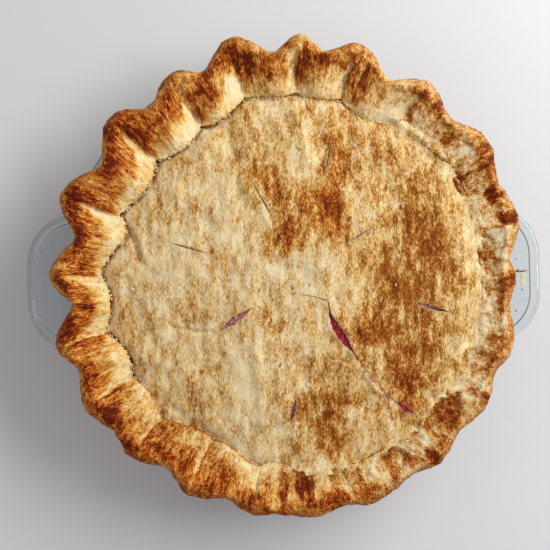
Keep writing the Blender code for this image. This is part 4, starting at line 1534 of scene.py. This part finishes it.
def pockets(plan, seed):
    """Return how deep the slack side's hollows are in millimetres and how much browner they are
    painted, with painted shade along the inner border of each.

    Their pale rims are given as well.
    """
    bearing, radius = bearing_of(plan), distance_of(plan)
    wobble = 2.3 * MM * rough_noise(plan / (7 * MM), seed + 54, 2)
    patchy = np.clip(0.9 + 1.1 * soft_noise(plan / (4.5 * MM), seed + 56), 0.2, 1.7)
    depth_there, browner, rim_there = (np.zeros(len(plan)) for _ in range(3))
    for middle, distance, half_breadth, half_length, depth in POCKETS:
        across = np.radians(degrees_from(middle, bearing)) * radius + wobble
        inward = radius - distance * MM + wobble
        away = np.hypot(across / half_breadth, inward / half_length) / MM
        inner = ease(0.7 - inward / (half_length * MM))
        depth_there = np.maximum(depth_there, depth * ease((1.08 - away) / (0.8 - 0.45 * inner)))
        clear = depth / DEEPEST_POCKET
        # Each hollow is a little browner all over; the band along its inner border is painted
        # shade.
        browning_and_shade = 0.12 * ease(4 - 4 * away) + 0.3 * hump(away - 0.84, 0.2) * inner
        browner = np.maximum(browner, clear * browning_and_shade)
        rim_there = np.maximum(rim_there, clear * hump(away - 1.16, 0.13) * inner)
    return depth_there, browner * patchy, rim_there


def lid_relief(plan, settings):
    """Return how far the top crust's flakes and vents stand above its plain form."""
    depth, _, rim = pockets(plan, settings.seed)
    relief = settings.lid_grain * lid_flakes(plan, settings.seed)
    relief += MM * (POCKET_RIM * rim - depth)
    broad = rough_noise(plan / np.array([13, 22, 10]) / MM, settings.seed + 48, 2)
    relief += settings.lid_waves * broad
    for line in vent_lines():
        distance, width = distance_to_line(plan, line)
        lip = hump(distance - width / 2 - VENT_LIP_WIDTH / 2, VENT_LIP_WIDTH)
        relief += VENT_LIP_HEIGHT * lip * np.clip(width / (1.5 * MM), 0.3, 1)
    return relief + lid_folds(plan, settings)


def browned(plan, seed, patches=BROWNED_PATCHES):
    """Return how much more some patches of the top crust are baked, with ragged borders."""
    places = plan[:, :2] + 4 * MM * pushed_aside(plan, 7 * MM, seed + 60)
    amount_there = np.zeros(len(plan))
    for x, y, half_width, half_length, heading, amount in patches:
        off = places - np.array([x, y]) * MM
        cosine, sine = cosine_and_sine(heading)
        along = off @ (cosine, sine) / (half_length * MM)
        across = off @ (-sine, cosine) / (half_width * MM)
        amount_there += amount * np.exp(-(along ** 2 + across ** 2))
    return amount_there


def bake_of_lid(plan, share, settings):
    """Return how much each place of the top crust is baked."""
    seed = settings.seed
    patches = browned(plan, seed, BROWNED_PATCHES + TANNED_PATCHES)
    bake = LID_BAKE + patches
    bake += 0.15 * soft_noise(plan / (15 * MM), seed + 62)
    bake += (0.26 + 0.25 * patches) * soft_noise(plan / np.array([4.2, 9, 8]) / MM, seed + 63)
    bake += (0.12 + 0.25 * patches) * lid_flakes(plan, seed)
    # The hollows are browner, with painted shade along their inner border, and their rims are
    # paler.
    _, browner, rim = pockets(plan, seed)
    bake += browner - 0.24 * rim
    return bake - 0.06 * ease((share - 0.85) / 0.15)


class PIE_OT_top_crust(Operator):
    """Make the top crust with its vents."""
    bl_idname = "pie.top_crust"
    bl_label = "Top crust"

    def execute(self, context):
        settings = context.scene.pie_pastry
        start_clean()
        bpy.ops.mesh.primitive_grid_add(x_subdivisions=LID_CELLS, y_subdivisions=LID_CELLS, size=2)
        lid = name_new("top_crust")
        disc = disc_from_square(places_of(lid))
        share = np.linalg.norm(disc, axis=1)
        bearing = bearing_of(disc)
        seam = seam_radius(bearing)
        scallop = (plain_seam(bearing) - seam) * share ** 10
        merged = 1 - open_seam(bearing)
        radius = share * (plain_seam(bearing) + LID_OVERLAP + MERGE_WIDTH * merged) - scallop
        plan = around(bearing, radius)
        places = plan.copy()
        places[:, 2] = lid_height(bearing, radius) + lid_relief(plan, settings)
        places[:, 2] += self.at_the_edge(plan, radius - seam, bearing, settings)
        move_to(lid, places)
        juice = np.zeros(len(plan))
        for x, y, size, amount in JUICE_SPOTS:
            distance = distance_of(plan - (x * MM, y * MM, 0))
            juice = np.maximum(juice, amount * hump(distance, size * MM))
        tear = vent_lines()[-1]
        beside = hump(distance_to_line(plan, tear[6:])[0], 0.9 * MM)
        juice = np.maximum(juice, 0.55 * beside)
        bake = bake_of_lid(plan, share, settings) + 0.08 * beside
        bake -= 0.16 * hump(distance_to_line(plan - PALE_SIDE, tear[3:])[0], 1.6 * MM)
        # A darker, browner line, broken by noise, just inside the open seam: painted shade of the
        # crack.
        line = hump(np.minimum(radius - seam, 0), 0.9 * MM) * open_seam(bearing)
        bake += line * np.clip(0.25 + 0.7 * soft_noise(plan / (2.5 * MM), settings.seed + 74), 0, 1)
        flour = 0.8 * hump(distance_of(plan - (4 * MM, 6 * MM, 0)), 24 * MM)
        flour += 0.5 * soft_noise(plan / (10 * MM), settings.seed + 76)
        # The flour colour over the last 4 mm inside the open seam is painted grey shade beside the
        # crack.
        flour += 0.6 * hump(np.minimum(radius - seam, 0), 4 * MM) * open_seam(bearing)
        browner = browned(plan, settings.seed, BROWNED_PATCHES + TANNED_PATCHES)
        note(lid, flour=np.clip(flour - 3 * browner, 0, 1), bake=bake,
             grain=places / MM * LID_GRAIN,
             glow=np.clip(1.1 * browned(plan, settings.seed), 0, 0.6), juice=juice)
        self.close_below(lid)
        for number, line in enumerate(vent_lines()):
            use_tool(lid, vent_cutter(line, number, settings), "DIFFERENCE")
        pick_only(lid)
        bpy.ops.object.shade_smooth_by_angle(angle=math.radians(50))
        finish_piece(lid, pastry_finish("baked_lid", settings), "golden_crust", "lid_crust")
        return {"FINISHED"}

    def at_the_edge(self, plan, past_seam, bearing, settings):
        """Return how far the top crust drops to the seam, or rises with the edge it runs into."""
        opening = 0.9 + 1.1 * soft_noise(plan / (6 * MM), settings.seed + 70)
        drop = SEAM_GROOVE_DEPTH * ease((past_seam - 0.2 * MM) / SEAM_GROOVE_WIDTH + 1)
        drop *= np.clip(opening, 0.2, 2)
        drop += SEAM_ROUNDING_DEPTH * ease(past_seam / SEAM_ROUNDING_WIDTH + 1)
        drop += 0.9 * np.maximum(past_seam - 0.4 * MM, 0)
        ridge, ridge_height = ridge_at(bearing)
        seam = seam_radius(bearing)
        outward, turn = folds(bearing)[1:3]
        share = np.clip(past_seam / (ridge - seam), 0, 1)
        low = inner_face(bearing, 0 * share, turn, outward)[1]
        height = inner_face(bearing, share, turn, outward)[1]
        torn = rough_noise(plan / (3.5 * MM), settings.seed + 72, 3)
        past = (share - MERGE_SHARE) / MERGE_SHARE
        rise = height - low - MM * np.maximum(past, 0) ** 2 + 0.4 * MM * torn * hump(past, 0.8)
        rise = np.where(past_seam > 0, rise, 0)
        return between(rise, -drop, open_seam(bearing))

    def close_below(self, lid):
        """Grow the lid's border down and inwards in rings, and close it in the middle."""
        start_edit()
        bpy.ops.mesh.select_all(action="DESELECT")
        bpy.ops.mesh.select_non_manifold()
        extrude_up(-LID_THICKNESS)
        for shrink in LID_RINGS_BELOW:
            grow_ring(1.2 * MM, shrink)
        bpy.ops.mesh.merge(type="CENTER")
        face_outwards()


# ---------------------------------------------------------------------------
# The fruit
# ---------------------------------------------------------------------------

class PIE_OT_fruit_filling(Operator):
    """Make the fruit between the crusts, which shows in the vents."""
    bl_idname = "pie.fruit_filling"
    bl_label = "Fruit filling"

    def execute(self, context):
        start_clean()
        bpy.ops.mesh.primitive_uv_sphere_add(segments=200, ring_count=110, radius=1)
        fruit = name_new("fruit")
        places = places_of(fruit)
        bearing = bearing_of(places)
        down = np.degrees(np.arccos(np.clip(places[:, 2], -1, 1))) / 180
        wall = SHELL_THICKNESS + 0.6 * MM
        top_edge = seam_radius(bearing) - 3 * MM
        floor = FLOOR_THICKNESS + wall
        top_end = 0.66
        side_end = 0.80
        top_share = np.clip(down / top_end, 0, 1)
        side_share = np.clip((down - top_end) / (side_end - top_end), 0, 1)
        floor_share = np.clip((down - side_end) / (1 - side_end), 0, 1)
        wall_top = DISH_HEIGHT - 5 * MM
        radius = top_edge * top_share
        height = lid_height(bearing, radius) - LID_THICKNESS - 0.3 * MM
        side_radius = between(dish_inside(wall_top) - wall, INNER_FLOOR_RADIUS - 4 * MM, side_share)
        side_height = between(wall_top, floor, side_share)
        radius = np.where(down > top_end, side_radius * (1 - floor_share), radius)
        height = np.where(down > top_end, side_height, height)
        places = around(bearing, radius, height)
        raised = 0.35 * MM * soft_noise(places / (3 * MM), 4)
        raised += lid_relief(in_plan(places), context.scene.pie_pastry)
        for line in vent_lines():
            distance = distance_to_line(places, line)[0]
            raised += FRUIT_RISE * hump(distance, FRUIT_RISE_WIDTH)
        places[:, 2] += raised * ease(4 - 5 * top_share)
        tear_distance = distance_to_line(places, vent_lines()[-1])[0]
        note(fruit, dried=0.85 * ease((tear_distance - 6 * MM) / (4 * MM)))
        move_to(fruit, places)
        bpy.ops.object.shade_smooth()
        finish_piece(fruit, fruit_finish(context.scene.pie_filling), "fruit_filling", "filling")
        return {"FINISHED"}


# ---------------------------------------------------------------------------
# Flakes, crumbs and baked juice
# ---------------------------------------------------------------------------

def small_form(kind):
    """Make the form that is copied: a curled sheet of two by three faces, or a lump."""
    start_clean()
    if kind == "flake":
        bpy.ops.mesh.primitive_grid_add(x_subdivisions=3, y_subdivisions=2, size=1)
        form = name_new(kind)
        thickness = form.modifiers.new("thickness", "SOLIDIFY")
        thickness.thickness = 0.1
        thickness.offset = 0
        apply_modifiers(form)
        places = places_of(form)
        places[:, 2] += 0.35 * places[:, 0] ** 2 - 0.2 * places[:, 1] ** 2
        places[:, 1] *= 1 - 0.5 * np.abs(places[:, 0])
        move_to(form, places)
    else:
        bpy.ops.mesh.primitive_ico_sphere_add(subdivisions=1, radius=0.5)
        form = name_new(kind)
    faces = [tuple(face.vertices) for face in form.data.polygons]
    places = places_of(form)
    bpy.data.objects.remove(form, do_unlink=True)
    return places, faces


def strewn(name, kind, spots, normals, sizes, colours, settings):
    """Make one piece of many small forms that lie on spots with given normals.

    Colours has how much each is baked and how much it has of the edge's redder colours.
    """
    draw = np.random.RandomState(settings.seed + len(name))
    form, faces = small_form(kind)
    verts, all_faces = [], []
    for spot, normal, size in zip(spots, normals, sizes):
        heading = draw.uniform(0, 2 * np.pi)
        if kind == "flake":
            heading = np.pi / 2 + draw.normal() * 0.5
        along = np.array([np.cos(heading), np.sin(heading), 0])
        along -= normal * (along @ normal)
        along /= np.linalg.norm(along)
        frame_here = np.stack([along, np.cross(normal, along), normal])
        ragged = form * draw.uniform(0.75, 1.25, form.shape)
        start = len(verts) * len(form)
        verts.append(spot + (ragged * size) @ frame_here)
        all_faces += [tuple(start + vert for vert in face) for face in faces]
    mesh = bpy.data.meshes.new(name)
    places = np.concatenate(verts)
    mesh.from_pydata(places.tolist(), [], all_faces)
    piece = bpy.data.objects.new(name, mesh)
    bpy.context.scene.collection.objects.link(piece)
    bake, glow = (np.repeat(values, len(form)) for values in colours)
    note(piece, bake=bake, grain=places / MM, glow=glow, juice=0)
    turn_outwards(piece)
    return piece


def lid_top(plan, settings):
    """Return the height of the finished top crust at places in plan."""
    bearing = bearing_of(plan)
    radius = distance_of(plan)
    return lid_height(bearing, radius) + lid_relief(plan, settings)


class PIE_OT_flakes(Operator):
    """Strew lifted flakes over the crust."""
    bl_idname = "pie.flakes"
    bl_label = "Loose flakes"

    def execute(self, context):
        settings = context.scene.pie_pastry
        draw = np.random.RandomState(settings.seed + 80)
        edge = bpy.data.objects["fluted_edge"]
        places = places_of(edge)
        normals = np.empty(places.size)
        edge.data.vertices.foreach_get("normal", normals)
        normals = normals.reshape(-1, 3)
        up = np.flatnonzero((normals[:, 2] > 0.35) & (places[:, 2] > LIP_HEIGHT + 3 * MM))
        picked = draw.choice(up, EDGE_FLAKES, replace=False)
        bearing = draw.uniform(0, 360, 2 * LID_FLAKES)
        plan = around(bearing, LID_FLAKES_REACH * np.sqrt(draw.uniform(0, 1, 2 * LID_FLAKES)))
        for line in vent_lines():
            plan = plan[distance_to_line(plan, line)[0] > FLAKES_OFF_VENTS]
        plan = plan[:LID_FLAKES]
        on_lid = plan.copy()
        on_lid[:, 2] = lid_top(plan, settings)
        spots = np.concatenate([places[picked], on_lid])
        upward = np.tile([0, 0, 1.0], (LID_FLAKES, 1))
        normals = np.concatenate([normals[picked], upward])
        length = draw.uniform(*FLAKE_LENGTHS, len(spots)) * MM
        sizes = np.stack([length, length * draw.uniform(0.35, 0.6, len(spots)),
                          length * 0.9], axis=1)
        bake_there = np.empty(len(places))
        edge.data.attributes["bake"].data.foreach_get("value", bake_there)
        bakes = np.concatenate([bake_there[picked], bake_of_lid(on_lid, 0.5, settings)])
        bakes = bakes + draw.uniform(-0.2, 0.12, len(bakes))
        glow = np.repeat([1.0, 0.1], (EDGE_FLAKES, LID_FLAKES))
        spots = spots + normals * 0.12 * MM
        flakes = strewn("loose_flakes", "flake", spots, normals, sizes, (bakes, glow), settings)
        finish_piece(flakes, pastry_finish("baked_flakes", settings), "golden_crust")
        return {"FINISHED"}


class PIE_OT_crumbs(Operator):
    """Put crumbs into the seam between the top crust and the edge."""
    bl_idname = "pie.crumbs"
    bl_label = "Crumbs in the seam"

    def execute(self, context):
        settings = context.scene.pie_pastry
        draw = np.random.RandomState(settings.seed + 90)
        bearing = draw.uniform(0, 360, 3 * SEAM_CRUMBS)
        bearing = bearing[open_seam(bearing) > 0.5][:SEAM_CRUMBS]
        count = len(bearing)
        radius = seam_radius(bearing) + draw.normal(-0.2, 0.5, count) * MM
        plan = around(bearing, radius)
        spots = plan.copy()
        spots[:, 2] = lid_top(plan, settings) - draw.uniform(0.6, 1.7, count) * MM
        sizes = draw.uniform(*CRUMB_SIZES, (count, 3)) * MM
        upward = np.tile([0, 0, 1.0], (count, 1))
        colours = draw.uniform(-0.1, 0.25, count), np.zeros(count)
        crumbs = strewn("seam_crumbs", "crumb", spots, upward, sizes, colours, settings)
        finish_piece(crumbs, pastry_finish("baked_crumbs", settings), "golden_crust")
        return {"FINISHED"}


def dried_drops(name, spots, top):
    """Make one piece of flat ragged drops on a surface whose height top gives."""
    parts = []
    for number, (x, y, length, breadth, heading, amount) in enumerate(spots):
        start_clean()
        bpy.ops.mesh.primitive_uv_sphere_add(segments=20, ring_count=10, radius=1)
        drop = name_new(f"drop_{number}")
        places = places_of(drop)
        ragged = 1 + 0.3 * soft_noise(places * 1.7 + number, 90)
        places = places * ragged[:, None] * np.array([length / 2, breadth / 2, 0.14]) * MM
        cosine, sine = cosine_and_sine(heading)
        turned = np.array([[cosine, sine, 0], [-sine, cosine, 0], [0, 0, 1]])
        places = places @ turned + np.array([x * MM, y * MM, 0])
        places[:, 2] += top(in_plan(places))
        move_to(drop, places)
        note(drop, dried=amount)
        parts.append(drop)
    pick_only(*parts)
    bpy.ops.object.join()
    piece = name_new(name)
    bpy.ops.object.shade_smooth()
    return piece


class PIE_OT_baked_juice(Operator):
    """Make the juice and egg wash that dried on the dish's right handle."""
    bl_idname = "pie.baked_juice"
    bl_label = "Baked juice"

    def execute(self, context):
        juice = dried_drops("baked_juice", DRIED_SPOTS,
                            lambda plan: BEAD_HEIGHT + WEB_THICKNESS / 2)
        finish_piece(juice, juice_finish(context.scene.pie_filling), "fruit_filling")
        return {"FINISHED"}


class PIE_OT_jam(Operator):
    """Make the jam that boiled out of the long vent."""
    bl_idname = "pie.jam"
    bl_label = "Jam"

    def execute(self, context):
        pastry = context.scene.pie_pastry
        jam = dried_drops("jam", JAM_SPOTS, lambda plan: lid_top(plan, pastry) + 0.15 * MM)
        finish_piece(jam, fruit_finish(context.scene.pie_filling), "fruit_filling")
        return {"FINISHED"}


# ---------------------------------------------------------------------------
# The stage
# ---------------------------------------------------------------------------

def aim(thing, target, up):
    """Turn a camera or light to look at a point, with an upward direction in its picture."""
    back = (thing.location - Vector(target)).normalized()
    right = Vector(up).cross(back).normalized()
    top = back.cross(right)
    turned = Matrix((right, top, back)).transposed()
    thing.rotation_euler = turned.to_euler()


def add_area_light(name, location, sides, power, colour):
    """Add a soft light that looks at the pie, like a window that is long along Y."""
    light = bpy.data.lights.new(name, "AREA")
    light.shape = "RECTANGLE"
    light.size, light.size_y = sides
    light.energy = power
    light.color = colour[:3]
    lamp = bpy.data.objects.new(name, light)
    bpy.context.scene.collection.objects.link(lamp)
    lamp.location = location
    aim(lamp, (0, 0, 0.04), (0, 1, 0))


class PIE_OT_stage(Operator):
    """Set up the camera, the pale floor and the soft light."""
    bl_idname = "pie.stage"
    bl_label = "Stage"

    def execute(self, context):
        settings = context.scene.pie_stage
        start_clean()
        bpy.ops.mesh.primitive_plane_add(size=8)
        floor = name_new("floor")
        floor.data.materials.append(
            Mixer("pale_floor").finish(Base_Color=settings.floor, Roughness=0.7))
        camera = bpy.data.objects.new("camera", bpy.data.cameras.new("camera"))
        context.scene.collection.objects.link(camera)
        camera.data.lens = settings.lens
        camera.data.sensor_width = 36
        camera.location = (*CAMERA_OVER, settings.camera_height)
        aim(camera, (*CAMERA_OVER, 0), PICTURE_UP)
        context.scene.camera = camera
        add_area_light("window", WINDOW_PLACE, WINDOW_SIDES, settings.key_power,
                       paint(*WINDOW_COLOUR))
        add_area_light("fill", FILL_PLACE, FILL_SIDES, settings.fill_power,
                       paint(*FILL_COLOUR))
        world = bpy.data.worlds.new("room")
        world.use_nodes = True
        background = world.node_tree.nodes["Background"]
        background.inputs["Color"].default_value = paint(*ROOM_COLOUR)
        background.inputs["Strength"].default_value = settings.sky
        context.scene.world = world
        context.scene.view_settings.view_transform = "Standard"
        return {"FINISHED"}


class PIE_PT_pieces(Panel):
    """Lists the pieces of the pie and their settings."""
    bl_idname = "PIE_PT_pieces"
    bl_label = "Strawberry rhubarb pie"
    bl_space_type = "VIEW_3D"
    bl_region_type = "UI"
    bl_category = "Pie"

    def draw(self, context):
        for operator in PIECE_OPERATORS:
            self.layout.operator(operator.bl_idname)
        for settings in SETTINGS:
            group = getattr(context.scene, settings)
            box = self.layout.box()
            for name in group.__annotations__:
                box.prop(group, name)


SETTINGS = {
    "pie_dish": DishSettings,
    "pie_pastry": PastrySettings,
    "pie_filling": FillingSettings,
    "pie_stage": StageSettings,
}
PIECE_OPERATORS = (
    PIE_OT_glass_dish,
    PIE_OT_crust_shell,
    PIE_OT_fluted_edge,
    PIE_OT_top_crust,
    PIE_OT_fruit_filling,
    PIE_OT_flakes,
    PIE_OT_crumbs,
    PIE_OT_baked_juice,
    PIE_OT_jam,
    PIE_OT_stage,
)


def register():
    """Add the settings, operators and panel to Blender."""
    for group in SETTINGS.values():
        bpy.utils.register_class(group)
    for operator in PIECE_OPERATORS:
        bpy.utils.register_class(operator)
    bpy.utils.register_class(PIE_PT_pieces)
    for name, group in SETTINGS.items():
        setattr(bpy.types.Scene, name, PointerProperty(type=group))


def unregister():
    """Take them out again."""
    for name in SETTINGS:
        delattr(bpy.types.Scene, name)
    bpy.utils.unregister_class(PIE_PT_pieces)
    for operator in reversed(PIECE_OPERATORS):
        bpy.utils.unregister_class(operator)
    for group in reversed(SETTINGS.values()):
        bpy.utils.unregister_class(group)


def main():
    """Build all pieces."""
    register()
    for operator in PIECE_OPERATORS:
        group, name = operator.bl_idname.split(".")
        getattr(getattr(bpy.ops, group), name)()


if __name__ == "__main__":
    main()
